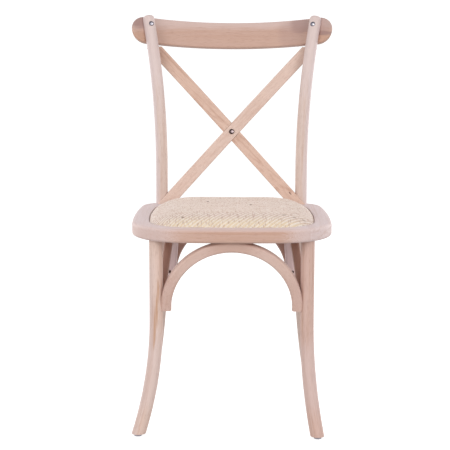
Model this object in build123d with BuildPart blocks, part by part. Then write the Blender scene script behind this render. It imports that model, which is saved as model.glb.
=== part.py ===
"""Bentwood cross-back chair with a domed rattan seat.

Every wooden piece, fastener and glide is a solid of its own. Millimetres, +Z up, the front faces -Y, left is
-X, and the origin lies on the floor below the middle of the chair's outline.
"""

import os
from math import atan2, cos, degrees, radians, sin, sqrt, tan

from build123d import *

LEFT, RIGHT = -1, 1
ON_PLACE = (Align.CENTER, Align.CENTER, Align.MIN)  # a solid stands on its place, centred over it

# Fits
CLEAR = 0.1  # gap round each tenon, dowel, screw and let-in face
PANEL_GAP = 0.4  # gap between the seat board and its rabbet

# Seat frame, measured back from its front edge
FRONT_EDGE = -254.0
SEAT_TOP = 450.0
FRAME_THICK = 29.0
SEAT_WIDTH = 430.0  # at the widest place
WIDEST_BACK = 205.0
SEAT_FRONT_WIDTH = 408.0  # before the front corners are rounded
SEAT_REAR_WIDTH = 402.0
SEAT_DEPTH = 397.0
FRONT_BOW = 9.0
FRONT_CORNER = 120.0
REAR_CORNER = 60.0
FRAME_TOP_ROUND = 7.0
FRAME_LOW_ROUND = 6.0
SIDE_RIM = 36.0
FRONT_RIM = 33.0
REAR_RIM = 22.0
OPENING_CORNER = 84.0
OPENING_REAR_CORNER = 74.0
OPENING_ROUND = 2.5
LEDGE_WIDTH = 5.0
LEDGE_THICK = 11.0
SEAM_ANGLE = 53.0  # of the joint between front and side rails, from straight sideways

# Domed seat panel
BOARD_THICK = 14.0
DOME_RISE = 26.0  # of the woven top above the frame
DOME_SINK = 2.0  # the dome starts this far below the frame's top
DOME_FLANK = 100.0  # how far in from its rim the dome still rises
DOME_STEPS = 4
RATTAN_THICK = 2.5
RATTAN_SKIRT = 10.0  # tucked down beside the board

# Rear legs, each one bent pole with its back post
POST_INSET = 39.5  # axis in from the frame's rear width
POST_FORWARD = 10.0  # axis in front of the frame's rear edge
POST_DIAMETER = 27.0
POST_HEIGHT = 879.0
POST_HIP_UP = 80.0  # the upper bend starts this far above the seat
POST_KNEE_DOWN = 93.0  # the lower bend starts this far below the frame
POST_TOP_FLARE = 65.0
POST_FOOT_FLARE = 62.0
POST_TURN = 59.0  # of the bend plane, from sideways towards the back
POST_TOP_ROUND = 7.0

# Front legs, the same bent pole turned by a different angle in each socket
LEG_INSET = 44.5  # axis in from the frame's front width
LEG_BACK = 58.0
LEG_DIAMETER = 29.0
LEG_KNEE_DOWN = 20.0  # the bend starts this far below the front arch's feet
LEG_FOOT_FLARE = 45.0
LEFT_LEG_TURN = 30.0
RIGHT_LEG_TURN = 58.0
LEG_TENON_DIAMETER = 18.0
LEG_TENON_LENGTH = 13.0
FOOT_SPARE = 30.0  # pole left below the floor line before the foot is cut level

# Glides
GLIDE_DIAMETER = 16.0
GLIDE_THICK = 5.0
GLIDE_PIN_DIAMETER = 4.0
GLIDE_PIN_LENGTH = 12.0

# Arched braces under the seat
ARCH_RADIAL = 22.5
ARCH_DEPTH = 20.0
SIDE_ARCH_DEPTH = 18.0
ARCH_ROUND = 5.0
ARCH_FOOT_STRAIGHT = 5.0
ARCH_HAUNCH = 0.96  # inner radius of the haunches, as a share of the largest that fits
REAR_ARCH_LEAN = 10.0  # inwards
SIDE_ARCH_LEAN = 6.0
FRONT_ARCH_LEAN = 12.0  # forwards, under the front rail
ARCH_HEIGHT = 151.0  # from its feet up to where its crown is seated
ARCH_HOUSING = 5.0  # how far an arch foot is let into a front leg
REAR_ARCH_HOUSING = 2.0
ARCH_PLANED = 1.5  # taken off the crown to seat it flat
REAR_ARCH_SHIFT = 4.0  # rear arch in front of the post axis
SIDE_ARCH_FRONT_IN = 8.5  # front foot's middle, in from the front leg's axis
SIDE_ARCH_REAR_IN = 11.5  # rear foot's middle, in from the rear arch's outside
SIDE_ARCH_LET_IN = 0.5  # each end reaches this far past the other arches' faces before it is fitted

# Crest rail
CREST_OVERHANG = 45.2  # past the posts' axes
CREST_HEIGHT = 60.5
CREST_THICK = 18.0
CREST_RADIUS = 430.0
CREST_TILT = 16.0
CREST_DROP = 47.0  # middle of the rail below the posts' tops
CREST_LET_IN = 1.3
CREST_ROUND = 4.0

# Crossed slats, cut from one curved shell
SLAT_WIDTH = 28.0
SLAT_THICK = 11.0
SLAT_DROP = 70.0  # slats' tops below the posts' tops
SLAT_FOOT_INBOARD = 10.0  # of the post axis
SLAT_END_OUT = 14.4  # past the post axis
SLAT_FOOT_LET_IN = 3.0
SLAT_TOP_LET_IN = 1.1
SLAT_BOW = 17.7  # how far the crossing lies behind the straight line from foot to top
SLAT_ROUND = 2.0

# Fasteners
SCREW_SHANK = 4.0
SCREW_HEAD = 7.0
SCREW_HEAD_THICK = 2.5
SCREW_TIP = 5.0
SCREW_SINK = 4.0  # from the wood's face down to the head's seat
SCREW_BITE = 12.0  # length held by the second piece
SIDE_SCREW_UP = 12.0  # from an arch's foot
SIDE_SCREW_OUT = 4.5  # from the middle of a side arch
END_SCREW_UP = 10.0
REAR_SCREW_UP = 32.0
CREST_SCREW_HEAD = 11.0
CREST_SCREW_DOME = 3.5
DOME_SHARE = 0.88  # of a domed head's height that is rounded
CREST_SCREW_SHANK = 5.5
CREST_SCREW_INBOARD = 5.0
CREST_SCREW_SUNK = 2.0
CREST_SCREW_UP = 27.0  # above the middle of the crest at its own place
CREST_SCREW_BITE = 10.0  # past the post's back
SLAT_TOP_SCREW_DOWN = 12.0
SLAT_FOOT_SCREW_UP = 9.0
SLAT_FOOT_SCREW_INBOARD = 6.5
SLAT_SCREW_BITE = 8.0
BOLT_HEAD = 12.0
BOLT_DOME = 4.0
BOLT_SHANK = 5.0
NUT_DIAMETER = 10.0
NUT_THICK = 5.0

# Tenons and dowels of the seat frame
SPLINE_LENGTH = 30.0
SPLINE_WIDTH = 18.0
SPLINE_THICK = 8.0
SPLINE_DOWN = 12.0  # middle of the spline below the frame's top
DOWEL_DIAMETER = 8.0
DOWEL_REACH = 9.0  # into the post
DOWEL_BITE = 12.0  # into the rail
DOWEL_DOWN = 16.0

FRAME_BOTTOM = SEAT_TOP - FRAME_THICK
LEDGE_TOP = FRAME_BOTTOM + LEDGE_THICK
BOARD_TOP = LEDGE_TOP + BOARD_THICK
FRONT_ARCH_FOOT = FRAME_BOTTOM - ARCH_HEIGHT
ARCH_FOOT = LEDGE_TOP - ARCH_HEIGHT
POST_X = SEAT_REAR_WIDTH / 2 - POST_INSET
POST_Y = FRONT_EDGE + SEAT_DEPTH - POST_FORWARD
POST_HIP = SEAT_TOP + POST_HIP_UP
POST_KNEE = FRAME_BOTTOM - POST_KNEE_DOWN
POST_RADIUS = POST_DIAMETER / 2
LEG_X = SEAT_FRONT_WIDTH / 2 - LEG_INSET
LEG_Y = FRONT_EDGE + LEG_BACK
LEG_KNEE = FRONT_ARCH_FOOT - LEG_KNEE_DOWN
LEG_RADIUS = LEG_DIAMETER / 2
CREST_Z = POST_HEIGHT - CREST_DROP
SLAT_TOP_Z = POST_HEIGHT - SLAT_DROP


def plan_face(side, front, rear, front_corner, rear_corner):
    """Seat plan drawn in from the outer edge by side, front and rear, with its corners rounded."""
    half_front = SEAT_FRONT_WIDTH / 2 - side
    half_wide = SEAT_WIDTH / 2 - side
    half_rear = SEAT_REAR_WIDTH / 2 - side
    front_y = FRONT_EDGE + front
    rear_y = FRONT_EDGE + SEAT_DEPTH - rear
    wide_y = FRONT_EDGE + WIDEST_BACK
    with BuildSketch() as plan:
        with BuildLine():
            ThreePointArc((-half_front, front_y + FRONT_BOW), (0, front_y), (half_front, front_y + FRONT_BOW))
            ThreePointArc((half_front, front_y + FRONT_BOW), (half_wide, wide_y), (half_rear, rear_y))
            Line((half_rear, rear_y), (-half_rear, rear_y))
            ThreePointArc((-half_rear, rear_y), (-half_wide, wide_y), (-half_front, front_y + FRONT_BOW))
        make_face()
        fillet(plan.vertices().group_by(Axis.Y)[0], radius=front_corner)
        fillet(plan.vertices().group_by(Axis.Y)[-1], radius=rear_corner)
    return plan.sketch


def opening_face(inset):
    """Plan of the frame's opening, drawn in further by inset."""
    return plan_face(
        SIDE_RIM + inset,
        FRONT_RIM + inset,
        REAR_RIM + inset,
        max(OPENING_CORNER - inset, OPENING_CORNER / 2),
        max(OPENING_REAR_CORNER - inset, OPENING_REAR_CORNER / 2),
    )


def dome(base_z, rise, inset):
    """Crowned panel: the opening's plan drawn in as it rises, steep at the rim and flat in the middle."""
    with BuildPart() as panel:
        for step in range(DOME_STEPS + 1):
            share = step / DOME_STEPS
            with BuildSketch(Plane.XY.offset(base_z + rise * (1 - (1 - share) ** 3))):
                add(opening_face(inset + share * DOME_FLANK))
        loft()
    return panel.part


def pole(diameter, top, hip, top_flare, knee, foot_flare):
    """Round pole drawn in its bend plane: X is the flare and Y the height above the floor."""
    with BuildPart() as rod:
        with BuildLine() as axis:
            Line((0, knee), (0, hip))
            if top > hip:
                TangentArc((0, hip), (top_flare, top), tangent=(0, 1))
            foot = TangentArc((0, knee), (foot_flare, 0), tangent=(0, -1))
            Line(foot @ 1, foot @ 1 + (foot % 1) * FOOT_SPARE)
        path = axis.wires()[0]
        with BuildSketch(Plane(origin=path @ 0, z_dir=path % 0)):
            Circle(diameter / 2)
        sweep(path=path)
    return rod.part


def bend_plane(side, x, y, turn):
    """Upright plane through a pole's socket: its X points outward, turned back by turn degrees."""
    out = (side * cos(radians(turn)), sin(radians(turn)), 0)
    return Plane(origin=(side * x, y, 0), x_dir=out, z_dir=(out[1], -out[0], 0))


def post_pole(side, swell=0.0):
    """Rear leg and back post in place, thicker by swell all round."""
    rod = pole(POST_DIAMETER + 2 * swell, POST_HEIGHT, POST_HIP, POST_TOP_FLARE, POST_KNEE, POST_FOOT_FLARE)
    with BuildPart() as placed:
        with Locations(bend_plane(side, POST_X, POST_Y, POST_TURN)):
            add(rod)
    return placed.part


def post_axis(height):
    """Outward and backward offset of the post's axis at a height above its upper bend."""
    radius = (POST_TOP_FLARE**2 + (POST_HEIGHT - POST_HIP) ** 2) / (2 * POST_TOP_FLARE)
    flare = radius - sqrt(radius**2 - (height - POST_HIP) ** 2)
    return flare * cos(radians(POST_TURN)), flare * sin(radians(POST_TURN))


# Crest and slats, placed by the posts' axes at their heights
crest_out, crest_back = post_axis(CREST_Z)
crest_post_x = POST_X + crest_out
crest_length = 2 * (crest_post_x + CREST_OVERHANG)
crest_sag = CREST_RADIUS - sqrt(CREST_RADIUS**2 - crest_post_x**2)
crest_middle_y = POST_Y + crest_back + POST_RADIUS + CREST_THICK / 2 + crest_sag - CREST_LET_IN
slat_out, slat_back = post_axis(SLAT_TOP_Z)
slat_foot_x = POST_X - SLAT_FOOT_INBOARD
slat_top_x = POST_X + slat_out
slat_height = SLAT_TOP_Z - SEAT_TOP
slat_lean = degrees(atan2(slat_foot_x + slat_top_x, slat_height))
slat_cross_z = SEAT_TOP + slat_height * slat_foot_x / (slat_foot_x + slat_top_x)
slat_foot_y = POST_Y - POST_RADIUS - SLAT_THICK / 2 + SLAT_FOOT_LET_IN
slat_top_y = POST_Y + slat_back + POST_RADIUS + SLAT_THICK / 2 - SLAT_TOP_LET_IN
slat_cross_y = slat_foot_y + (slat_top_y - slat_foot_y) * (slat_cross_z - SEAT_TOP) / slat_height + SLAT_BOW


def arch(half_span, depth, rise, swell=0.0):
    """Three-centred bent brace, drawn upright in XY with its feet on the X axis."""
    inner = half_span - ARCH_RADIAL
    height = rise - ARCH_RADIAL - ARCH_FOOT_STRAIGHT
    haunch = ARCH_HAUNCH * min(inner, height)
    crown = (inner**2 - 2 * inner * haunch + height**2) / (2 * (height - haunch))
    haunch_turn = degrees(atan2(crown - height, inner - haunch))
    middle = ARCH_RADIAL / 2
    foot_x = half_span - middle
    with BuildPart() as brace:
        with BuildLine() as axis:
            rise_line = Line((-foot_x, 0), (-foot_x, ARCH_FOOT_STRAIGHT))
            first = JernArc(rise_line @ 1, (0, 1), haunch + middle, -haunch_turn)
            top = JernArc(first @ 1, first % 1, crown + middle, -2 * (90 - haunch_turn))
            last = JernArc(top @ 1, top % 1, haunch + middle, -haunch_turn)
            Line(last @ 1, (foot_x, 0))
        path = axis.wires()[0]
        with BuildSketch(Plane(origin=path @ 0, x_dir=(1, 0, 0), z_dir=path % 0)):
            RectangleRounded(ARCH_RADIAL + 2 * swell, depth + 2 * swell, ARCH_ROUND)
        sweep(path=path)
    return brace.part


def arch_rise(height, depth, angle):
    """Rise of an arch that leans by angle and whose rounded crown is planed flat at height."""
    upright = height + ARCH_PLANED - ARCH_ROUND
    return (upright - (depth / 2 - ARCH_ROUND) * sin(angle)) / cos(angle) + ARCH_ROUND


def back_shell(inner, outer, side, width):
    """Diagonal strip of the curved shell that both slats are cut from. It leans to the given side."""
    with BuildPart() as strip:
        with BuildSketch(Plane.YZ):
            with Locations((SHELL_Y, SHELL_Z)):
                Circle(outer)
                Circle(inner, mode=Mode.SUBTRACT)
        extrude(amount=crest_length, both=True)
        with BuildSketch(Plane.XZ.offset(-slat_cross_y)):
            with Locations((0, slat_cross_z)):
                Rectangle(width, POST_HEIGHT, rotation=-side * slat_lean)
        extrude(amount=SEAT_DEPTH / 2, both=True, mode=Mode.INTERSECT)
    return strip.part


def screw(head, head_thick, shank, length, domed=False):
    """Screw along +Z with its head's seat at the origin."""
    with BuildPart() as fastener:
        Cylinder(head / 2, head_thick, align=(Align.CENTER, Align.CENTER, Align.MAX))
        if domed:
            fillet(fastener.edges().sort_by(Axis.Z)[0], DOME_SHARE * head_thick)
        Cylinder(shank / 2, length - SCREW_TIP, align=ON_PLACE)
        with Locations((0, 0, length - SCREW_TIP)):
            Cone(shank / 2, shank / 8, SCREW_TIP, align=ON_PLACE)
    return fastener.part


def screw_hole(head, sink, shank, length):
    """What a screw's wood loses: the shank's bore and a recess that reaches out by sink over the head."""
    with BuildPart() as bore:
        Cylinder(shank / 2 + CLEAR, length + CLEAR, align=ON_PLACE)
        Cylinder(head / 2 + CLEAR, sink, align=(Align.CENTER, Align.CENTER, Align.MAX))
    return bore.part


def shell_circle():
    """Centre and radius of the slats' curve through its foot, crossing and top, as Y, Z and radius."""
    cross = (slat_cross_y, slat_cross_z)
    arc = ThreePointArc((slat_foot_y, SEAT_TOP), cross, (slat_top_y, SLAT_TOP_Z), mode=Mode.PRIVATE)
    return arc.arc_center.X, arc.arc_center.Y, arc.radius


SHELL_Y, SHELL_Z, SHELL_RADIUS = shell_circle()


def shell_plane(x, z, depth, forward):
    """Plane square to the slats' curve, depth behind its middle, facing the front or the back."""
    height = z - SHELL_Z
    reach = sqrt(SHELL_RADIUS**2 - height**2)
    back = Vector(0, reach, height) / SHELL_RADIUS
    origin = Vector(x, SHELL_Y, SHELL_Z) + back * (SHELL_RADIUS + depth)
    return Plane(origin=origin, x_dir=(1, 0, 0), z_dir=back * (-1 if forward else 1))


# Arched braces: each is drawn upright in its own plane, which leans inwards, or forwards for the front one
front_arch_outer = LEG_X - LEG_RADIUS + ARCH_HOUSING
rear_arch_outer = POST_X - POST_RADIUS + REAR_ARCH_HOUSING
rear_arch_y = POST_Y - REAR_ARCH_SHIFT
front_lean = radians(FRONT_ARCH_LEAN)
rear_lean = radians(REAR_ARCH_LEAN)
side_lean = radians(SIDE_ARCH_LEAN)
front_arch_rise = arch_rise(FRAME_BOTTOM - FRONT_ARCH_FOOT, ARCH_DEPTH, front_lean)
rear_arch_rise = arch_rise(LEDGE_TOP - ARCH_FOOT, ARCH_DEPTH, rear_lean)
side_arch_rise = arch_rise(LEDGE_TOP - ARCH_FOOT, SIDE_ARCH_DEPTH, side_lean)

front_arch_plane = Plane(
    origin=(0, LEG_Y, FRONT_ARCH_FOOT), x_dir=(1, 0, 0), z_dir=(0, -cos(front_lean), -sin(front_lean))
)
rear_arch_plane = Plane(
    origin=(0, rear_arch_y, ARCH_FOOT), x_dir=(1, 0, 0), z_dir=(0, -cos(rear_lean), -sin(rear_lean))
)

# The side arches run from the front legs in towards the rear arch's feet
front_arch_back = LEG_Y + ARCH_DEPTH / 2 / cos(front_lean) - (ARCH_FOOT - FRONT_ARCH_FOOT) * tan(front_lean)
rear_arch_front = rear_arch_y - ARCH_DEPTH / 2 / cos(rear_lean)
side_front_foot = Vector(-(LEG_X - SIDE_ARCH_FRONT_IN), front_arch_back, ARCH_FOOT)
side_rear_foot = Vector(-(rear_arch_outer - SIDE_ARCH_REAR_IN), rear_arch_front, ARCH_FOOT)
side_run = side_rear_foot - side_front_foot
side_half_span = side_run.length / 2 + SIDE_ARCH_LET_IN
side_inwards = Vector(side_run.Y, -side_run.X, 0).normalized()
left_arch_plane = Plane(
    origin=(side_front_foot + side_rear_foot) / 2,
    x_dir=side_run,
    z_dir=side_inwards * cos(side_lean) - Vector(0, 0, sin(side_lean)),
)

# Fasteners, each drawn along +Z with its head's seat at the origin
arch_screw_length = ARCH_RADIAL - SCREW_SINK + SCREW_BITE
arch_screw = screw(SCREW_HEAD, SCREW_HEAD_THICK, SCREW_SHANK, arch_screw_length)
arch_screw_hole = screw_hole(SCREW_HEAD, SCREW_SINK + SCREW_HEAD_THICK, SCREW_SHANK, arch_screw_length)
crest_screw_ahead = sqrt(POST_RADIUS**2 - CREST_SCREW_INBOARD**2) - CREST_SCREW_SUNK
crest_screw_length = crest_screw_ahead + POST_RADIUS + CREST_SCREW_BITE
crest_screw = screw(CREST_SCREW_HEAD, CREST_SCREW_DOME, CREST_SCREW_SHANK, crest_screw_length, domed=True)
crest_screw_hole = screw_hole(CREST_SCREW_HEAD, POST_RADIUS, CREST_SCREW_SHANK, crest_screw_length)
slat_top_screw = screw(SCREW_HEAD, SCREW_HEAD_THICK, SCREW_SHANK, SLAT_THICK + SLAT_SCREW_BITE)
slat_top_hole = screw_hole(SCREW_HEAD, SCREW_SINK, SCREW_SHANK, SLAT_THICK + SLAT_SCREW_BITE)
slat_foot_seat_y = POST_Y + POST_RADIUS - 2 * SCREW_SINK
slat_foot_length = slat_foot_seat_y - slat_foot_y
slat_foot_screw = screw(SCREW_HEAD, SCREW_HEAD_THICK, SCREW_SHANK, slat_foot_length)
slat_foot_hole = screw_hole(SCREW_HEAD, POST_RADIUS, SCREW_SHANK, slat_foot_length)


def end_screw_plane(side, arch_plane, outer, up):
    """Screw through an arch's foot sideways into the leg beside it."""
    seat = arch_plane.from_local_coords(Vector(side * (outer - ARCH_RADIAL + SCREW_SINK), up, 0))
    return Plane(origin=seat, x_dir=(0, 1, 0), z_dir=(side, 0, 0))


def front_screw_plane(side):
    """Screw through the front arch's foot."""
    return end_screw_plane(side, front_arch_plane, front_arch_outer, END_SCREW_UP)


def rear_screw_plane(side):
    """Screw through the rear arch's foot."""
    return end_screw_plane(side, rear_arch_plane, rear_arch_outer, REAR_SCREW_UP)


def side_screw_plane(side, towards):
    """Screw through a side arch's foot into the front leg, towards -1, or the rear arch, towards 1."""
    seat = left_arch_plane.from_local_coords(
        Vector(towards * (side_half_span - ARCH_RADIAL + SCREW_SINK), SIDE_SCREW_UP, -SIDE_SCREW_OUT)
    )
    return Plane(origin=(-side * seat.X, seat.Y, seat.Z), x_dir=(1, 0, 0), z_dir=(0, towards, 0))


def crown_screw_plane(arch_plane, rise):
    """Screw up through an arch's crown."""
    seat = arch_plane.from_local_coords(Vector(0, rise - ARCH_RADIAL + SCREW_SINK, 0))
    return Plane(origin=seat, x_dir=arch_plane.x_dir, z_dir=arch_plane.y_dir)


def crest_screw_plane(side):
    """Screw through the post's front, square to the crest."""
    height = CREST_Z + CREST_SCREW_UP
    out, back = post_axis(height)
    drive = Vector(0, cos(radians(CREST_TILT)), -sin(radians(CREST_TILT)))
    axis_point = Vector(side * (POST_X + out - CREST_SCREW_INBOARD), POST_Y + back, height)
    return Plane(origin=axis_point - drive * crest_screw_ahead, x_dir=(1, 0, 0), z_dir=drive)


def slat_top_plane(side):
    """Screw from behind a slat's top into the post."""
    height = SLAT_TOP_Z - SLAT_TOP_SCREW_DOWN
    out, _ = post_axis(height)
    return shell_plane(side * (POST_X + out), height, SLAT_THICK / 2 - SCREW_HEAD_THICK, forward=True)


def slat_foot_plane(side):
    """Screw from behind the post into a slat's foot."""
    place = (side * (POST_X - SLAT_FOOT_SCREW_INBOARD), slat_foot_seat_y, SEAT_TOP + SLAT_FOOT_SCREW_UP)
    return Plane(origin=place, x_dir=(1, 0, 0), z_dir=(0, -1, 0))


def glide_place(side, x, y, turn, flare):
    """Floor point below the middle of a pole's foot."""
    return bend_plane(side, x, y, turn).from_local_coords(Vector(flare, 0, 0))


os.makedirs("parts", exist_ok=True)


def finish(piece, name):
    """Label a finished piece and write its STEP file."""
    piece.label = name
    export_step(piece, f"parts/{name}.step")


# Back
def crest_body(swell=0.0):
    """Bowed rail: a band bent round its radius, trimmed to a round-ended face."""
    tilt = radians(CREST_TILT)
    middle = (0, crest_middle_y, CREST_Z)
    with BuildPart() as rail:
        with BuildSketch(Plane(origin=middle, x_dir=(1, 0, 0), z_dir=(0, sin(tilt), cos(tilt)))):
            with Locations((0, -CREST_RADIUS)):
                Circle(CREST_RADIUS + CREST_THICK / 2 + swell)
                Circle(CREST_RADIUS - CREST_THICK / 2 - swell, mode=Mode.SUBTRACT)
        extrude(amount=CREST_HEIGHT, both=True)
        with BuildSketch(Plane(origin=middle, x_dir=(1, 0, 0), z_dir=(0, -cos(tilt), sin(tilt)))):
            SlotOverall(crest_length + 2 * swell, CREST_HEIGHT + 2 * swell)
        extrude(amount=CREST_RADIUS / 2, both=True, mode=Mode.INTERSECT)
        if not swell:
            fillet(rail.edges().filter_by(lambda edge: edge.length > 2 * CREST_THICK), CREST_ROUND)
    return rail.part


crest_blank = crest_body()
with BuildPart() as crest_rail:
    add(crest_blank)
    for side in (LEFT, RIGHT):
        with Locations(crest_screw_plane(side)):
            add(crest_screw_hole, mode=Mode.SUBTRACT)
finish(crest_rail.part, "crest_rail")


def slat_blank(side, swell=0.0):
    """Slat that leans to a side, trimmed at the seat, below the crest and at the post's outside."""
    half = SLAT_THICK / 2 + swell
    strip = back_shell(SHELL_RADIUS - half, SHELL_RADIUS + half, side, SLAT_WIDTH + 2 * swell)
    with BuildPart() as blank:
        add(strip)
        if not swell:
            fillet(blank.edges().filter_by(lambda edge: edge.length > POST_HEIGHT / 2), SLAT_ROUND)
        split(bisect_by=Plane.XY.offset(SEAT_TOP), keep=Keep.TOP)
        split(bisect_by=Plane.XY.offset(SLAT_TOP_Z + swell), keep=Keep.BOTTOM)
        trim = Plane.YZ.offset(side * (slat_top_x + SLAT_END_OUT))
        split(bisect_by=trim, keep=Keep.BOTTOM if side == RIGHT else Keep.TOP)
    return blank.part


def slat(side, lap_inner, lap_outer):
    """Slat halved where the other one crosses it, with its screw and bolt holes."""
    blank = slat_blank(side)
    lap = back_shell(lap_inner, lap_outer, -side, SLAT_WIDTH + 2 * CLEAR)
    with BuildPart() as strip:
        add(blank)
        add(lap, mode=Mode.SUBTRACT)
        with Locations(shell_plane(0, slat_cross_z, 0, forward=False)):
            Cylinder(BOLT_SHANK / 2 + CLEAR, SLAT_WIDTH, mode=Mode.SUBTRACT)
        with Locations(slat_top_plane(side)):
            add(slat_top_hole, mode=Mode.SUBTRACT)
        with Locations(slat_foot_plane(-side)):
            add(slat_foot_hole, mode=Mode.SUBTRACT)
    return strip.part


front_slat_body = slat(RIGHT, SHELL_RADIUS - CLEAR / 2, SHELL_RADIUS + SLAT_THICK)
with BuildPart() as cross_slat_front:
    add(front_slat_body)
finish(cross_slat_front.part, "cross_slat_front")

back_slat_body = slat(LEFT, SHELL_RADIUS - SLAT_THICK, SHELL_RADIUS + CLEAR / 2)
with BuildPart() as cross_slat_back:
    add(back_slat_body)
finish(cross_slat_back.part, "cross_slat_back")

with BuildPart() as crossing_bolt:
    with BuildSketch(shell_plane(0, slat_cross_z, -SLAT_THICK / 2 - CLEAR / 2, forward=True)):
        Circle(BOLT_HEAD / 2)
    extrude(amount=BOLT_DOME)
    fillet(crossing_bolt.edges().sort_by(Axis.Y)[0], DOME_SHARE * BOLT_DOME)
    with BuildSketch(shell_plane(0, slat_cross_z, -SLAT_THICK / 2 - CLEAR / 2, forward=False)):
        Circle(BOLT_SHANK / 2)
    extrude(amount=SLAT_THICK + NUT_THICK / 2)
finish(crossing_bolt.part, "crossing_bolt")

with BuildPart() as crossing_nut:
    with BuildSketch(shell_plane(0, slat_cross_z, SLAT_THICK / 2, forward=False)):
        Circle(NUT_DIAMETER / 2)
    extrude(amount=NUT_THICK)
    fillet(crossing_nut.edges().sort_by(Axis.Y)[-1], NUT_THICK / 3)
    with BuildSketch(shell_plane(0, slat_cross_z, SLAT_THICK / 2, forward=False)):
        Circle(BOLT_SHANK / 2 + CLEAR)
    extrude(amount=NUT_THICK / 2 + CLEAR, mode=Mode.SUBTRACT)
finish(crossing_nut.part, "crossing_nut")

with BuildPart() as left_crest_screw:
    with Locations(crest_screw_plane(LEFT)):
        add(crest_screw)
finish(left_crest_screw.part, "left_crest_screw")

with BuildPart() as right_crest_screw:
    mirror(left_crest_screw.part, about=Plane.YZ)
finish(right_crest_screw.part, "right_crest_screw")

with BuildPart() as left_slat_top_screw:
    with Locations(slat_top_plane(LEFT)):
        add(slat_top_screw)
finish(left_slat_top_screw.part, "left_slat_top_screw")

with BuildPart() as right_slat_top_screw:
    mirror(left_slat_top_screw.part, about=Plane.YZ)
finish(right_slat_top_screw.part, "right_slat_top_screw")

with BuildPart() as left_slat_foot_screw:
    with Locations(slat_foot_plane(LEFT)):
        add(slat_foot_screw)
finish(left_slat_foot_screw.part, "left_slat_foot_screw")

with BuildPart() as right_slat_foot_screw:
    mirror(left_slat_foot_screw.part, about=Plane.YZ)
finish(right_slat_foot_screw.part, "right_slat_foot_screw")

# Arched braces under the seat
front_arch_body = arch(front_arch_outer, ARCH_DEPTH, front_arch_rise)
rear_arch_body = arch(rear_arch_outer, ARCH_DEPTH, rear_arch_rise)
side_arch_body = arch(side_half_span, SIDE_ARCH_DEPTH, side_arch_rise)
front_arch_socket = arch(front_arch_outer, ARCH_DEPTH, front_arch_rise, CLEAR)
rear_arch_socket = arch(rear_arch_outer, ARCH_DEPTH, rear_arch_rise, CLEAR)
side_arch_socket = arch(side_half_span, SIDE_ARCH_DEPTH, side_arch_rise, CLEAR)

with BuildPart() as front_arch:
    with Locations(front_arch_plane):
        add(front_arch_body)
    split(bisect_by=Plane.XY.offset(FRAME_BOTTOM), keep=Keep.BOTTOM)
    for side in (LEFT, RIGHT):
        with Locations(front_screw_plane(side)):
            add(arch_screw_hole, mode=Mode.SUBTRACT)
    with Locations(crown_screw_plane(front_arch_plane, front_arch_rise)):
        add(arch_screw_hole, mode=Mode.SUBTRACT)
finish(front_arch.part, "front_arch")

with BuildPart() as rear_arch:
    with Locations(rear_arch_plane):
        add(rear_arch_body)
    split(bisect_by=Plane.XY.offset(LEDGE_TOP), keep=Keep.BOTTOM)
    for side in (LEFT, RIGHT):
        with Locations(rear_screw_plane(side), side_screw_plane(side, 1)):
            add(arch_screw_hole, mode=Mode.SUBTRACT)
    with Locations(crown_screw_plane(rear_arch_plane, rear_arch_rise)):
        add(arch_screw_hole, mode=Mode.SUBTRACT)
finish(rear_arch.part, "rear_arch")

with BuildPart() as left_arch:
    with Locations(left_arch_plane):
        add(side_arch_body)
    split(bisect_by=Plane.XY.offset(LEDGE_TOP), keep=Keep.BOTTOM)
    with Locations(front_arch_plane):
        add(front_arch_socket, mode=Mode.SUBTRACT)
    with Locations(rear_arch_plane):
        add(rear_arch_socket, mode=Mode.SUBTRACT)
    with Locations(side_screw_plane(LEFT, -1), side_screw_plane(LEFT, 1)):
        add(arch_screw_hole, mode=Mode.SUBTRACT)
    with Locations(crown_screw_plane(left_arch_plane, side_arch_rise)):
        add(arch_screw_hole, mode=Mode.SUBTRACT)
finish(left_arch.part, "left_arch")

with BuildPart() as right_arch:
    mirror(left_arch.part, about=Plane.YZ)
finish(right_arch.part, "right_arch")

with BuildPart() as front_crown_screw:
    with Locations(crown_screw_plane(front_arch_plane, front_arch_rise)):
        add(arch_screw)
finish(front_crown_screw.part, "front_crown_screw")

with BuildPart() as rear_crown_screw:
    with Locations(crown_screw_plane(rear_arch_plane, rear_arch_rise)):
        add(arch_screw)
finish(rear_crown_screw.part, "rear_crown_screw")

with BuildPart() as left_crown_screw:
    with Locations(crown_screw_plane(left_arch_plane, side_arch_rise)):
        add(arch_screw)
finish(left_crown_screw.part, "left_crown_screw")

with BuildPart() as right_crown_screw:
    mirror(left_crown_screw.part, about=Plane.YZ)
finish(right_crown_screw.part, "right_crown_screw")

with BuildPart() as left_front_arch_screw:
    with Locations(front_screw_plane(LEFT)):
        add(arch_screw)
finish(left_front_arch_screw.part, "left_front_arch_screw")

with BuildPart() as right_front_arch_screw:
    mirror(left_front_arch_screw.part, about=Plane.YZ)
finish(right_front_arch_screw.part, "right_front_arch_screw")

with BuildPart() as left_rear_arch_screw:
    with Locations(rear_screw_plane(LEFT)):
        add(arch_screw)
finish(left_rear_arch_screw.part, "left_rear_arch_screw")

with BuildPart() as right_rear_arch_screw:
    mirror(left_rear_arch_screw.part, about=Plane.YZ)
finish(right_rear_arch_screw.part, "right_rear_arch_screw")

with BuildPart() as left_side_arch_front_screw:
    with Locations(side_screw_plane(LEFT, -1)):
        add(arch_screw)
finish(left_side_arch_front_screw.part, "left_side_arch_front_screw")

with BuildPart() as right_side_arch_front_screw:
    mirror(left_side_arch_front_screw.part, about=Plane.YZ)
finish(right_side_arch_front_screw.part, "right_side_arch_front_screw")

with BuildPart() as left_side_arch_rear_screw:
    with Locations(side_screw_plane(LEFT, 1)):
        add(arch_screw)
finish(left_side_arch_rear_screw.part, "left_side_arch_rear_screw")

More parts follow.
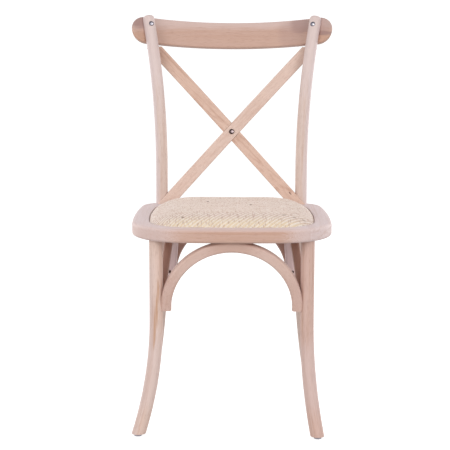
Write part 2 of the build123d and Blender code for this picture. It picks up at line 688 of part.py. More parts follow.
with BuildPart() as right_side_arch_rear_screw:
    mirror(left_side_arch_rear_screw.part, about=Plane.YZ)
finish(right_side_arch_rear_screw.part, "right_side_arch_rear_screw")

# Rear legs with their back posts
left_post_blank = post_pole(LEFT)
left_post_socket = post_pole(LEFT, CLEAR)
crest_socket = crest_body(CLEAR)
foot_slat_socket = slat_blank(RIGHT, CLEAR)
top_slat_socket = slat_blank(LEFT, CLEAR)
dowel_z = SEAT_TOP - DOWEL_DOWN
post_inner_x = POST_X - POST_RADIUS
post_front_y = POST_Y - POST_RADIUS
dowel_length = DOWEL_REACH + DOWEL_BITE
rear_dowel_plane = Plane(
    origin=(-post_inner_x - DOWEL_REACH, POST_Y, dowel_z), x_dir=(0, 1, 0), z_dir=(1, 0, 0)
)
side_dowel_plane = Plane(
    origin=(-POST_X, post_front_y + DOWEL_REACH, dowel_z), x_dir=(1, 0, 0), z_dir=(0, -1, 0)
)
with BuildPart() as dowel_hole:
    with Locations((0, 0, -CLEAR)):
        Cylinder(DOWEL_DIAMETER / 2 + CLEAR, dowel_length + 2 * CLEAR, align=ON_PLACE)

with BuildPart() as left_rear_leg:
    add(left_post_blank)
    split(bisect_by=Plane.XY.offset(GLIDE_THICK), keep=Keep.TOP)
    fillet(left_rear_leg.edges().group_by(Axis.Z)[-1], POST_TOP_ROUND)
    add(crest_socket, mode=Mode.SUBTRACT)
    add(foot_slat_socket, mode=Mode.SUBTRACT)
    add(top_slat_socket, mode=Mode.SUBTRACT)
    with Locations(rear_arch_plane):
        add(rear_arch_socket, mode=Mode.SUBTRACT)
    with Locations(rear_screw_plane(LEFT)):
        add(arch_screw_hole, mode=Mode.SUBTRACT)
    with Locations(crest_screw_plane(LEFT)):
        add(crest_screw_hole, mode=Mode.SUBTRACT)
    with Locations(slat_top_plane(LEFT)):
        add(slat_top_hole, mode=Mode.SUBTRACT)
    with Locations(slat_foot_plane(LEFT)):
        add(slat_foot_hole, mode=Mode.SUBTRACT)
    with Locations(rear_dowel_plane, side_dowel_plane):
        add(dowel_hole.part, mode=Mode.SUBTRACT)
    with Locations(glide_place(LEFT, POST_X, POST_Y, POST_TURN, POST_FOOT_FLARE) + (0, 0, GLIDE_THICK)):
        Cylinder(GLIDE_PIN_DIAMETER / 2 + CLEAR, 2 * (GLIDE_PIN_LENGTH + CLEAR), mode=Mode.SUBTRACT)
finish(left_rear_leg.part, "left_rear_leg")

with BuildPart() as right_rear_leg:
    mirror(left_rear_leg.part, about=Plane.YZ)
finish(right_rear_leg.part, "right_rear_leg")


# Front legs
with BuildPart() as left_side_socket:
    with Locations(left_arch_plane):
        add(side_arch_socket)

with BuildPart() as right_side_socket:
    mirror(left_side_socket.part, about=Plane.YZ)


def front_leg(side, turn, side_socket):
    """Bent front leg turned in its socket, let in for the arches, with a round tenon into the seat frame."""
    rod = pole(LEG_DIAMETER, FRAME_BOTTOM, FRAME_BOTTOM, 0, LEG_KNEE, LEG_FOOT_FLARE)
    with BuildPart() as leg:
        with Locations(bend_plane(side, LEG_X, LEG_Y, -turn)):
            add(rod)
        split(bisect_by=Plane.XY.offset(GLIDE_THICK), keep=Keep.TOP)
        with Locations((side * LEG_X, LEG_Y, FRAME_BOTTOM)):
            Cylinder(LEG_TENON_DIAMETER / 2, LEG_TENON_LENGTH, align=ON_PLACE)
        with Locations(front_arch_plane):
            add(front_arch_socket, mode=Mode.SUBTRACT)
        add(side_socket, mode=Mode.SUBTRACT)
        with Locations(front_screw_plane(side), side_screw_plane(side, -1)):
            add(arch_screw_hole, mode=Mode.SUBTRACT)
        with Locations(glide_place(side, LEG_X, LEG_Y, -turn, LEG_FOOT_FLARE) + (0, 0, GLIDE_THICK)):
            Cylinder(GLIDE_PIN_DIAMETER / 2 + CLEAR, 2 * (GLIDE_PIN_LENGTH + CLEAR), mode=Mode.SUBTRACT)
    return leg.part


left_leg_body = front_leg(LEFT, LEFT_LEG_TURN, left_side_socket.part)
with BuildPart() as left_front_leg:
    add(left_leg_body)
finish(left_front_leg.part, "left_front_leg")

right_leg_body = front_leg(RIGHT, RIGHT_LEG_TURN, right_side_socket.part)
with BuildPart() as right_front_leg:
    add(right_leg_body)
finish(right_front_leg.part, "right_front_leg")


# Glides
def glide(place):
    """Disc with a pin that is driven into the foot."""
    with BuildPart() as disc:
        with Locations(place):
            Cylinder(GLIDE_DIAMETER / 2, GLIDE_THICK, align=ON_PLACE)
            Cylinder(GLIDE_PIN_DIAMETER / 2, GLIDE_THICK + GLIDE_PIN_LENGTH, align=ON_PLACE)
    return disc.part


left_front_glide_body = glide(glide_place(LEFT, LEG_X, LEG_Y, -LEFT_LEG_TURN, LEG_FOOT_FLARE))
with BuildPart() as left_front_glide:
    add(left_front_glide_body)
finish(left_front_glide.part, "left_front_glide")

right_front_glide_body = glide(glide_place(RIGHT, LEG_X, LEG_Y, -RIGHT_LEG_TURN, LEG_FOOT_FLARE))
with BuildPart() as right_front_glide:
    add(right_front_glide_body)
finish(right_front_glide.part, "right_front_glide")

left_rear_glide_body = glide(glide_place(LEFT, POST_X, POST_Y, POST_TURN, POST_FOOT_FLARE))
with BuildPart() as left_rear_glide:
    add(left_rear_glide_body)
finish(left_rear_glide.part, "left_rear_glide")

with BuildPart() as right_rear_glide:
    mirror(left_rear_glide.part, about=Plane.YZ)
finish(right_rear_glide.part, "right_rear_glide")

# Seat frame: one ring, sawn into four rails that meet at splined joints and at the posts
outer_plan = plan_face(0, 0, 0, FRONT_CORNER, REAR_CORNER)
opening_plan = opening_face(0)
ledge_plan = opening_face(LEDGE_WIDTH)
right_post_socket = post_pole(RIGHT, CLEAR)
with BuildPart() as seat_ring:
    with BuildSketch(Plane.XY.offset(FRAME_BOTTOM)):
        add(outer_plan)
    extrude(amount=FRAME_THICK)
    fillet(seat_ring.faces().sort_by(Axis.Z)[-1].edges(), FRAME_TOP_ROUND)
    fillet(seat_ring.faces().sort_by(Axis.Z)[0].edges(), FRAME_LOW_ROUND)
    with BuildSketch(Plane.XY.offset(LEDGE_TOP)):
        add(opening_plan)
    extrude(amount=FRAME_THICK, mode=Mode.SUBTRACT)
    fillet(seat_ring.faces().sort_by(Axis.Z)[-1].inner_wires()[0].edges(), OPENING_ROUND)
    with BuildSketch(Plane.XY.offset(FRAME_BOTTOM)):
        add(ledge_plan)
    extrude(amount=FRAME_THICK, mode=Mode.SUBTRACT)
    add(left_post_socket, mode=Mode.SUBTRACT)
    add(right_post_socket, mode=Mode.SUBTRACT)
    for side in (LEFT, RIGHT):
        with Locations((side * (post_inner_x + POST_DIAMETER), POST_Y, FRAME_BOTTOM)):
            Box(
                2 * POST_DIAMETER,
                SEAT_DEPTH,
                FRAME_THICK,
                align=(Align.CENTER, Align.MIN, Align.MIN),
                mode=Mode.SUBTRACT,
            )

seam_turn = radians(SEAM_ANGLE)
seam_x = SEAT_FRONT_WIDTH / 2 - FRONT_CORNER
seam_y = FRONT_EDGE + FRONT_BOW + FRONT_CORNER
seam_far_x = seam_x + 2 * FRONT_CORNER * cos(seam_turn)
seam_far_y = seam_y - 2 * FRONT_CORNER * sin(seam_turn)
with BuildPart() as front_wedge:
    with BuildSketch(Plane.XY.offset(FRAME_BOTTOM - CLEAR)):
        with BuildLine():
            Polyline(
                (-seam_x, seam_y),
                (-seam_far_x, seam_far_y),
                (seam_far_x, seam_far_y),
                (seam_x, seam_y),
                close=True,
            )
        make_face()
    extrude(amount=FRAME_THICK + 2 * CLEAR)

with BuildPart() as rear_block:
    with Locations((0, FRONT_EDGE + SEAT_DEPTH, FRAME_BOTTOM - CLEAR)):
        Box(2 * post_inner_x, SEAT_DEPTH, FRAME_THICK + 2 * CLEAR, align=ON_PLACE)

with BuildSketch() as rim:
    add(outer_plan)
    add(opening_plan, mode=Mode.SUBTRACT)
seam_in_rim = rim.sketch.intersect(Edge.make_line((-seam_x, seam_y), (-seam_far_x, seam_far_y)))[0]
spline_plane = Plane(
    origin=(seam_in_rim @ 0.5) + (0, 0, SEAT_TOP - SPLINE_DOWN),
    x_dir=(-cos(seam_turn), -sin(seam_turn), 0),
    z_dir=(0, 0, 1),
)
with BuildPart() as spline_slot:
    Box(SPLINE_WIDTH + 2 * CLEAR, SPLINE_LENGTH + 2 * CLEAR, SPLINE_THICK + 2 * CLEAR)

with BuildPart() as left_spline:
    with Locations(spline_plane):
        Box(SPLINE_WIDTH, SPLINE_LENGTH, SPLINE_THICK)
finish(left_spline.part, "left_spline")

with BuildPart() as right_spline:
    mirror(left_spline.part, about=Plane.YZ)
finish(right_spline.part, "right_spline")

with BuildPart() as left_spline_slot:
    with Locations(spline_plane):
        add(spline_slot.part)

with BuildPart() as seat_front_rail:
    add(seat_ring.part)
    add(front_wedge.part, mode=Mode.INTERSECT)
    add(left_spline_slot.part, mode=Mode.SUBTRACT)
    mirror(left_spline_slot.part, about=Plane.YZ, mode=Mode.SUBTRACT)
    with Locations(crown_screw_plane(front_arch_plane, front_arch_rise)):
        add(arch_screw_hole, mode=Mode.SUBTRACT)
finish(seat_front_rail.part, "seat_front_rail")

with BuildPart() as left_rear_dowel_hole:
    with Locations(rear_dowel_plane):
        add(dowel_hole.part)

with BuildPart() as seat_rear_rail:
    add(seat_ring.part)
    add(rear_block.part, mode=Mode.INTERSECT)
    add(left_rear_dowel_hole.part, mode=Mode.SUBTRACT)
    mirror(left_rear_dowel_hole.part, about=Plane.YZ, mode=Mode.SUBTRACT)
finish(seat_rear_rail.part, "seat_rear_rail")

with BuildPart() as seat_left_rail:
    add(seat_ring.part)
    add(front_wedge.part, mode=Mode.SUBTRACT)
    add(rear_block.part, mode=Mode.SUBTRACT)
    split(bisect_by=Plane.YZ, keep=Keep.BOTTOM)
    add(left_spline_slot.part, mode=Mode.SUBTRACT)
    with Locations(rear_dowel_plane, side_dowel_plane):
        add(dowel_hole.part, mode=Mode.SUBTRACT)
    with Locations((-LEG_X, LEG_Y, FRAME_BOTTOM)):
        Cylinder(LEG_TENON_DIAMETER / 2 + CLEAR, 2 * (LEG_TENON_LENGTH + CLEAR), mode=Mode.SUBTRACT)
finish(seat_left_rail.part, "seat_left_rail")

with BuildPart() as seat_right_rail:
    mirror(seat_left_rail.part, about=Plane.YZ)
finish(seat_right_rail.part, "seat_right_rail")

with BuildPart() as left_rear_rail_dowel:
    with Locations(rear_dowel_plane):
        Cylinder(DOWEL_DIAMETER / 2, dowel_length, align=ON_PLACE)
finish(left_rear_rail_dowel.part, "left_rear_rail_dowel")

with BuildPart() as right_rear_rail_dowel:
    mirror(left_rear_rail_dowel.part, about=Plane.YZ)
finish(right_rear_rail_dowel.part, "right_rear_rail_dowel")

with BuildPart() as left_side_rail_dowel:
    with Locations(side_dowel_plane):
        Cylinder(DOWEL_DIAMETER / 2, dowel_length, align=ON_PLACE)
finish(left_side_rail_dowel.part, "left_side_rail_dowel")

with BuildPart() as right_side_rail_dowel:
    mirror(left_side_rail_dowel.part, about=Plane.YZ)
finish(right_side_rail_dowel.part, "right_side_rail_dowel")

# Seat panel: a moulded board with the woven rattan stretched over it
board_plan = opening_face(PANEL_GAP + RATTAN_THICK)
board_dome = dome(BOARD_TOP, SEAT_TOP + DOME_RISE - RATTAN_THICK - BOARD_TOP, PANEL_GAP + RATTAN_THICK)
rattan_plan = opening_face(PANEL_GAP)
rattan_base = SEAT_TOP - DOME_SINK
rattan_dome = dome(rattan_base, DOME_RISE + DOME_SINK, PANEL_GAP)

with BuildPart() as board_blank:
    with BuildSketch(Plane.XY.offset(LEDGE_TOP)):
        add(board_plan)
    extrude(amount=BOARD_THICK)
    add(board_dome)

with BuildPart() as seat_board:
    add(board_blank.part)
    with Locations(
        crown_screw_plane(rear_arch_plane, rear_arch_rise), crown_screw_plane(left_arch_plane, side_arch_rise)
    ):
        add(arch_screw_hole, mode=Mode.SUBTRACT)
    mirror(left_crown_screw.part, about=Plane.YZ, mode=Mode.SUBTRACT)
finish(seat_board.part, "seat_board")

with BuildPart() as rattan_seat:
    with BuildSketch(Plane.XY.offset(rattan_base - RATTAN_SKIRT)):
        add(rattan_plan)
    extrude(amount=RATTAN_SKIRT)
    add(rattan_dome)
    add(board_blank.part, mode=Mode.SUBTRACT)
finish(rattan_seat.part, "rattan_seat")
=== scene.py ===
"""Looks of a bentwood cross-back chair with a woven rattan seat, laid out as an add-on."""

import math
import random

import bmesh
import bpy
import numpy as np
from bpy.props import FloatProperty, FloatVectorProperty, IntProperty, PointerProperty
from mathutils import Matrix, Vector
from mathutils.bvhtree import BVHTree


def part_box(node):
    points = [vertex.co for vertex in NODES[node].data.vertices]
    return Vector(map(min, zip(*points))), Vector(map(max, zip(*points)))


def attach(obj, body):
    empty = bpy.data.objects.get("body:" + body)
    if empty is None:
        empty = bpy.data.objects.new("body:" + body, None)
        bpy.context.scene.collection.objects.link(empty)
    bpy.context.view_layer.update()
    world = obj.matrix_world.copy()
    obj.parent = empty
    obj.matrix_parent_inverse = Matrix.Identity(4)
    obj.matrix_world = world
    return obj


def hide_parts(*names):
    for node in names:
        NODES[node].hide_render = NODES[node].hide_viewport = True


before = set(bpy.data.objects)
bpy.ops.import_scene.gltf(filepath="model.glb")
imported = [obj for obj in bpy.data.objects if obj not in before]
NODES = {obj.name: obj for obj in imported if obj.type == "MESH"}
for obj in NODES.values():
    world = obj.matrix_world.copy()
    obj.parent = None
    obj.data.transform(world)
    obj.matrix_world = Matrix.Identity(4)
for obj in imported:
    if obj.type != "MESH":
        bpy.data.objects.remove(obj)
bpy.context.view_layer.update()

bl_info = {
    "name": "Cross-back chair looks",
    "version": (1, 0, 0),
    "blender": (4, 5, 0),
    "location": "View3D > Sidebar > Chair",
    "description": "Raw wood grain, woven rattan, steel fasteners and a studio for the chair",
    "category": "Object",
}

SIDES = {"left": -1, "right": 1}
RIGHT = Vector((1, 0, 0))
BACK = Vector((0, 1, 0))
UP = Vector((0, 0, 1))

# Bends that the grain follows, in metres and degrees. A bend is a flare over its height squared.
POST_X = 0.1615
POST_RADIUS = 0.0135
POST_TURN = 59.0
POST_HIP = 0.530
POST_KNEE = 0.328
POST_TOP_RISE = 0.349
POST_TOP_FLARE = 0.065
POST_TOP_BEND = POST_TOP_FLARE / POST_TOP_RISE**2
POST_FOOT_FLARE = 0.062
POST_FOOT_BEND = POST_FOOT_FLARE / POST_KNEE**2
LEG_X = 0.1595
LEG_RADIUS = 0.0145
LEG_KNEE = 0.250
LEG_FOOT_FLARE = 0.045
LEG_FOOT_BEND = LEG_FOOT_FLARE / LEG_KNEE**2
LEG_TURN = {"left": -30.0, "right": -58.0}
CREST_RADIUS = 0.430

# Figure of each kind of piece: its grain's seed and the strength of its streaks
FIGURES = {
    "post": (3.1, 0.35),
    "leg": (7.3, 0.50),
    "arch": (11.7, 0.35),
    "crest": (17.2, 0.30),
    "front_slat": (19.4, 0.35),
    "back_slat": (21.9, 0.75),
    "front_rail": (23.5, 0.70),
    "rear_rail": (29.1, 0.40),
    "side_rail": (31.3, 0.35),
    "board": (37.0, 0.50),
    "dowel": (41.0, 0.30),
}

# Marks in the wood: waves to the metre on each axis of the grain, and the edges in the noise
# between which a mark comes up
NOISE_MIDDLE = 0.5
WANDER_WAVES = (14.0, 14.0, 5.0)
WANDER = 0.012
RING_WAVES = (150.0, 150.0, 3.0)
RING_EDGES = (0.44, 0.72)
FIBRE_WAVES = (900.0, 900.0, 16.0)
FIBRE_EDGES = (0.35, 0.75)
FIBRE_SHARE = 0.22
PORE_WAVES = (1300.0, 1300.0, 70.0)
PORE_EDGES = (0.64, 0.74)
PORE_SHARE = 0.30
PATCH_WAVES = (11.0, 11.0, 3.5)
PATCH_EDGES = (0.36, 0.66)

# Finish of the wood
# Painted sky sheen on faces that look up: they are mixed towards rose, as light reflected at a low
# angle
TOP_SHEEN_EDGES = (0.1, 0.9)  # of how far a face looks up
# Share of that painted sheen on each rail's top
RAIL_TOP_SHEEN = {"front": 0.5, "left": 0.5, "right": 0.2}
WOOD_DULL_EDGES = (0.2, 0.8)
WOOD_DULLING = 0.1
FIBRE_RELIEF = 0.4
GRAIN_BUMP = 0.6
WOOD_SPECULAR = 0.42
SHEEN_WEIGHT = 0.22
SHEEN_ROUGHNESS = 0.35

# Marks laid on the wood as stains, some real and some painted light and shade: strength, middle and
# reach in the grain's axes
ANYWHERE = 1.0
STAIN_EDGES = (0.45, 1.0)  # full and gone, in shares of the reach
AMBER_STREAKS = (
    (0.75, (0.0028, 0.0, 0.312), (0.0026, ANYWHERE, 0.035)),
    (0.80, (0.0058, 0.0, 0.272), (0.0030, ANYWHERE, 0.045)),
    (0.75, (0.0092, 0.0, 0.228), (0.0028, ANYWHERE, 0.055)),
)
FOOT_PALING = (0.35, (0.0, 0.0, 0.130), (ANYWHERE, ANYWHERE, 0.100))
POST_PALING = (0.65, (0.0, 0.0, 0.880), (ANYWHERE, ANYWHERE, 0.260))
# Painted cool side light: a rose band down the posts' outer sides, which face the side light
OUTER_SIDE_SHEEN = 0.9  # down the posts' outer sides
OUTER_REACH = 0.019
CREST_END = 0.234  # round the bend from the crest's middle
# Darker patches at the crest's ends, in its upper half and beside the posts
CREST_END_DARKENING = (
    (0.70, (CREST_RADIUS, 0.020, 0.172), (ANYWHERE, 0.026, 0.036)),
    (0.30, (CREST_RADIUS, 0.004, 0.150), (ANYWHERE, 0.045, 0.046)),
    (0.40, (CREST_RADIUS, 0.026, CREST_END), (ANYWHERE, 0.028, 0.040)),
    (0.85, (CREST_RADIUS, 0.003, 0.232), (ANYWHERE, 0.007, 0.040)),
    (0.75, (CREST_RADIUS, 0.034, -CREST_END), (ANYWHERE, 0.026, 0.040)),
    (0.55, (CREST_RADIUS, 0.028, -CREST_END), (ANYWHERE, 0.020, 0.040)),
)
# Amber patches low at the crest's ends
CREST_END_AMBER = tuple(
    (0.40, (CREST_RADIUS, -0.014, end), (ANYWHERE, 0.024, 0.040)) for end in (-CREST_END, CREST_END)
)
# Painted sky reflection: the crest's upper half is mixed towards rose, as a face that looks up
# catches the cool light
CREST_TOP_SHEEN = (0.45, (CREST_RADIUS, 0.034, 0.0), (ANYWHERE, 0.030, ANYWHERE))
SLAT_PINS = (  # strength and place
    (1.00, Vector((0.1349, 0.150, 0.4759))),
    (0.65, Vector((0.1372, 0.150, 0.4731))),
)
PIN_REACH = (0.0018, ANYWHERE, 0.0034)
RAIL_END_REACH = 0.075
RAIL_END_PALING = {"left": 0.55, "right": 0.7}
# Painted shade: the left rail's lower front is darkened towards fawn, where the left side gets less
# light
LEFT_RAIL_SHADE = (0.55, (0.0, 0.428, -0.200), (ANYWHERE, 0.030, 0.110))
ARCH_CROWN = (0.60, (0.0, 0.0, 0.0), (ANYWHERE, ANYWHERE, 0.060))
ARCH_BRANCHES = tuple(
    (0.35, (0.0, 0.0, along), (ANYWHERE, ANYWHERE, 0.070)) for along in (-0.105, 0.105)
)
# Painted light on the side braces: the rear branch, facing the front lamps, is painted as a lit
# copy of the brace's wood
REAR_BRANCH_LIT = 1.0  # of a side brace

# Weave of the seat
STRAND_SIDES = 6
STRAND_SPREAD = 0.35  # of the shades of the strands in one direction
TWILL_REPEAT = 4
TWILL_OVER = 2
FEWEST_CROSSINGS = 4
SKIRT_HEIGHT = 0.010  # of the rattan, beside the board
SKIRT_LIFT = 0.0005  # of the strands' ends above the skirt's foot
SKIRT_DROP = 0.004  # of the skirt's top below the last crossing
RAY_LIFT = 0.1
RAY_REACH = 2.0

# Marks of the rattan
RATTAN_FLECKS = (  # strength, middle and reach
    (0.9, (-0.053, -0.025, 0.0), (0.0026, 0.0050, ANYWHERE)),
    (0.9, (0.041, -0.070, 0.0), (0.0026, 0.0050, ANYWHERE)),
    (0.6, (-0.104, -0.186, 0.0), (0.0028, 0.0035, ANYWHERE)),
    (0.4, (0.110, -0.172, 0.0), (0.0044, 0.0030, ANYWHERE)),
    (0.4, (0.132, -0.174, 0.0), (0.0036, 0.0030, ANYWHERE)),
    (0.4, (0.152, -0.170, 0.0), (0.0044, 0.0030, ANYWHERE)),
)
# Painted front light: strands on slopes that face the front are lighter, and yellower where they
# bend at the rim
RIM_SLOPES = (0.25, 0.60)
BLOTCH_WAVES = (60.0, 60.0, 60.0)
SHADE_EDGES = (0.2, 0.8)
SKIN_WAVES = (330.0, 80.0, 80.0)
SKIN_EDGES = (0.52, 0.72)
SKIN_SHARE = 0.6
# Painted shade where a strand passes under the others
DIP_SHADE_SHARE = 0.2
RATTAN_DULL_EDGES = (0.3, 0.7)
RATTAN_DULLING = 0.12
STRAND_FIBRE_WAVES = (1500.0, 1500.0, 400.0)
STRAND_FIBRE_DEPTH = 0.0001
STRAND_BUMP = 0.35

# Metal and nylon
WEAR_WAVES = (700.0, 700.0, 700.0)
WEAR_EDGES = (0.45, 0.75)
WORN_SHADE = 0.8
METAL_DULL_EDGES = (0.3, 0.8)
METAL_DULLING = 0.15
STEEL_ROUGHNESS = 0.34
HEAD_ROUGHNESS = 0.2
NYLON_ROUGHNESS = 0.5
# Painted highlight on the domed heads: a light spot that fades out to a painted dark reflection at
# the rim
GLINT_SHIFT = Vector((0.0012, 0.0, -0.0055))  # from the top of a domed head's front
GLINT_CORE = 0.35

# White ground, lamps and camera
STAGE_WHITE = 0.48
STAGE_GLOW = 0.80
STAGE_HALF_WIDTH = 8.0
STAGE_FRONT = -10.0
STAGE_BACK = 4.0
STAGE_BEND = 1.5
STAGE_TOP = 6.0
STAGE_STEPS = 16
CHAIR_MIDDLE = (0, 0, 0.5)
LAMPS = {  # place, target, size and the property with the power
    "left_softbox": ((-1.9, -2.3, 1.45), CHAIR_MIDDLE, 1.3, "key"),
    "right_softbox": ((1.9, -2.5, 1.45), CHAIR_MIDDLE, 1.3, "fill"),
    "left_rim_light": ((-2.0, 1.5, 0.9), CHAIR_MIDDLE, 1.2, "rim"),
    "right_rim_light": ((2.0, 1.5, 0.9), CHAIR_MIDDLE, 1.2, "rim"),
    "low_softbox": ((0, -1.9, 0.12), (0, 0.1, 0.55), 1.0, "low"),
}
SENSOR_WIDTH = 36.0


def srgb(red, green, blue):
    """Linear colour of a screen colour given in steps of 255."""
    return tuple(((value / 255 + 0.055) / 1.055) ** 2.4 for value in (red, green, blue))


def rgba(colour):
    """Colour with a full alpha, as colour sockets take it."""
    return (*colour, 1.0)


def colour_property(label, description, default):
    """Colour that a user may change."""
    return FloatVectorProperty(
        name=label, description=description, default=default, subtype="COLOR", size=3, min=0, max=1
    )


def length_property(label, description, default):
    """Length in metres that a user may change."""
    return FloatProperty(name=label, description=description, default=default, unit="LENGTH")


def share_property(label, description, default):
    """Share from zero to one that a user may change."""
    return FloatProperty(
        name=label, description=description, default=default, min=0, max=1, subtype="FACTOR"
    )


def power_property(label, description, default):
    """Power of a lamp, in watts, that a user may change."""
    return FloatProperty(
        name=label, description=description, default=default, min=0, unit="POWER"
    )


def angle_property(label, description, degrees):
    """Angle that a user may change."""
    return FloatProperty(
        name=label, description=description, default=math.radians(degrees), subtype="ANGLE"
    )


class ChairWood(bpy.types.PropertyGroup):
    """Colours and figure of the raw wood."""

    pale: colour_property("Pale", "One slat and one front leg", srgb(219, 193, 180))
    sand: colour_property("Sand", "Posts", srgb(214, 194, 184))
    # Rose is also the colour of the painted sky sheen on faces that look up, along the crest's top
    # and down the posts' outer sides.
    rose: colour_property("Rose", "Cooler wood, as on the side rails", srgb(217, 198, 196))
    tan: colour_property("Tan", "Warmer wood, as on the crest", srgb(197, 163, 148))
    honey: colour_property("Honey", "Yellower wood, as on one slat", srgb(215, 184, 167))
    # Fawn is also the painted shade at the left rail's lower front.
    fawn: colour_property("Fawn", "Front brace and one front leg", srgb(206, 175, 164))
    # A lit copy of the braces' wood: painted light on the side braces' rear branches.
    lit_lilac: colour_property("Lilac", "Rear branches of the side braces", srgb(204, 177, 175))
    # Painted shade: the braces under the seat are darkened as if shaded by it.
    shaded_umber: colour_property("Umber", "Rear brace and side braces", srgb(182, 144, 131))
    streak: colour_property("Streak", "Late wood between the rings", srgb(186, 145, 124))
    pore: colour_property("Pore", "Open pores along the grain", srgb(150, 108, 92))
    # Amber also lies low at the crest's ends.
    amber: colour_property("Amber", "Mineral streak on a leg, sapwood", srgb(188, 144, 114))
    # Darker colour laid at the crest's ends, in their upper half and beside the posts.
    crest_end_dark: colour_property("Heart", "Heartwood at the crest's ends", srgb(158, 126, 120))
    pin: colour_property("Pin", "Marks of two pins at a slat's foot", srgb(112, 74, 62))
    haze: colour_property("Haze", "Sanded fibres at a low angle", srgb(248, 244, 255))
    roughness: share_property("Roughness", "Of the sanded wood", 0.56)
    pore_depth: length_property("Pore depth", "Height of the grain's relief", 0.00012)


class ChairRattan(bpy.types.PropertyGroup):
    """Strands of the woven seat."""

    pitch: length_property("Pitch", "Distance between two strands", 0.0026)
    width: length_property("Width", "Of a strand", 0.0023)
    thickness: length_property("Thickness", "Of a strand", 0.0010)
    sway: length_property("Sway", "How far a strand rises and dips in the weave", 0.0006)
    # Cream and straw are lit and shaded copies of one rattan: crosswise strands painted lighter, as
    # if they catch the light, lengthwise ones darker.
    cream: colour_property("Cream", "Crosswise strands", srgb(246, 234, 227))
    straw: colour_property("Straw", "Lengthwise strands", srgb(216, 191, 174))
    # Glow and the next colour are lighter copies painted on slopes that face the front, as front
    # light; the second is also yellower where strands bend at the rim.
    glow: colour_property("Glow", "Crosswise strands at the front rim", srgb(252, 243, 232))
    lit_yellow: colour_property("Yellow", "Lengthwise strands at the front rim", srgb(240, 220, 188))
    # Skin also gives the painted shade where strands pass under others.
    skin: colour_property("Skin", "Rosy bits of the rattan's skin", srgb(190, 152, 134))
    fleck: colour_property("Fleck", "Dark flecks of the rattan's skin", srgb(126, 84, 58))
    roughness: share_property("Roughness", "Of the strands", 0.48)
    seed: IntProperty(name="Seed", description="Draw of the strands' colours", default=7)


class ChairMetal(bpy.types.PropertyGroup):
    """Colours of the fasteners and glides."""

    # Painted highlight and painted dark reflection: each domed head is light at one spot and dark
    # round its edge.
    bright: colour_property("Bright", "Crest screws where they are rubbed", srgb(222, 218, 226))
    rim: colour_property("Rim", "Crest screws round their edge", srgb(98, 96, 108))
    wear_and_glint: colour_property("Worn", "Crossing bolt where it is rubbed", srgb(206, 186, 188))
    bronze: colour_property("Bronze", "Crossing bolt round its edge", srgb(66, 52, 52))
    # Painted shade: the sunk screws and the nut are near black-brown, for the shade in their holes.
    shaded_steel: colour_property("Steel", "Sunk screws and the nut", srgb(60, 44, 38))
    nylon: colour_property("Nylon", "Glides", srgb(178, 174, 184))
    glint_reach: length_property("Spot reach", "From a rubbed spot to the dark edge", 0.0042)


class ChairStudio(bpy.types.PropertyGroup):
    """Camera and light."""

    lens: FloatProperty(name="Lens", description="Focal length", default=111.03, unit="CAMERA")
    distance: length_property("Distance", "Camera in front of the seat's front edge", 2.812)
    height: length_property("Height", "Camera above the floor", 0.9155)
    aside: length_property("Aside", "Camera to the right of the chair's middle", -0.0147)
    tilt: angle_property("Tilt", "Camera's look below level", 9.194)
    roll: angle_property("Roll", "Camera's turn about its look", 0.2)
    sky: FloatProperty(name="Sky", description="Strength of the even light", default=0.63, min=0)
    key: power_property("Key", "Power of the left softbox", 31.0)
    fill: power_property("Fill", "Power of the right softbox", 34.0)
    rim: power_property("Rim", "Power of each light behind", 23.0)
    low: power_property("Low", "Power of the softbox on the floor", 1.4)


class Tree:
    """Adds and links shader nodes in one node tree."""

    def __init__(self, tree):
        self.nodes = tree.nodes
        self.links = tree.links

    def feed(self, socket, value):
        """Link a socket to another one, or set its value."""
        if isinstance(value, bpy.types.NodeSocket):
            self.links.new(value, socket)
        else:
            socket.default_value = value

    def add(self, kind, values=None, **settings):
        """New node with its settings and inputs."""
        node = self.nodes.new(kind)
        for name, value in settings.items():
            setattr(node, name, value)
        for key, value in (values or {}).items():
            self.feed(node.inputs[key], value)
        return node

    def group(self, tree, values):
        """Node group with its inputs fed."""
        return self.add("ShaderNodeGroup", values, node_tree=tree)

    def math(self, operation, first, second=0.0):
        """Result of one sum."""
        return self.add("ShaderNodeMath", {0: first, 1: second}, operation=operation).outputs[0]

    def vector(self, operation, first, second):
        """Vector result of one sum."""
        node = self.add("ShaderNodeVectorMath", {0: first, 1: second}, operation=operation)
        return node.outputs["Vector"]

    def dot(self, first, second):
        """Length of one vector along another."""
        node = self.add("ShaderNodeVectorMath", {0: first, 1: second}, operation="DOT_PRODUCT")
        return node.outputs["Value"]

    def length(self, vector):
        """Length of a vector."""
        return self.math("SQRT", self.dot(vector, vector))

    def join(self, x, y, z):
        """Vector of three values."""
        return self.add("ShaderNodeCombineXYZ", {"X": x, "Y": y, "Z": z}).outputs[0]

    def place(self):
        """Place on the piece, in the chair's axes."""
        return self.add("ShaderNodeTexCoord").outputs["Object"]

    def mix(self, share, first, second):
        """Colour between two colours."""
        values = {0: share, 6: first, 7: second}
        return self.add("ShaderNodeMix", values, data_type="RGBA").outputs[2]

    def noise(self, vector, waves, detail=2.0, roughness=0.5):
        """Noise with a number of waves to the metre on each axis."""
        stretched = self.vector("MULTIPLY", vector, waves)
        values = {"Vector": stretched, "Scale": 1.0, "Detail": detail, "Roughness": roughness}
        return self.add("ShaderNodeTexNoise", values).outputs["Fac"]

    def ramp(self, value, low, high, start=0.0, end=1.0):
        """Value eased from start at low to end at high."""
        values = {"Value": value, "From Min": low, "From Max": high, "To Min": start, "To Max": end}
        node = self.add("ShaderNodeMapRange", values, interpolation_type="SMOOTHSTEP")
        return node.outputs["Result"]


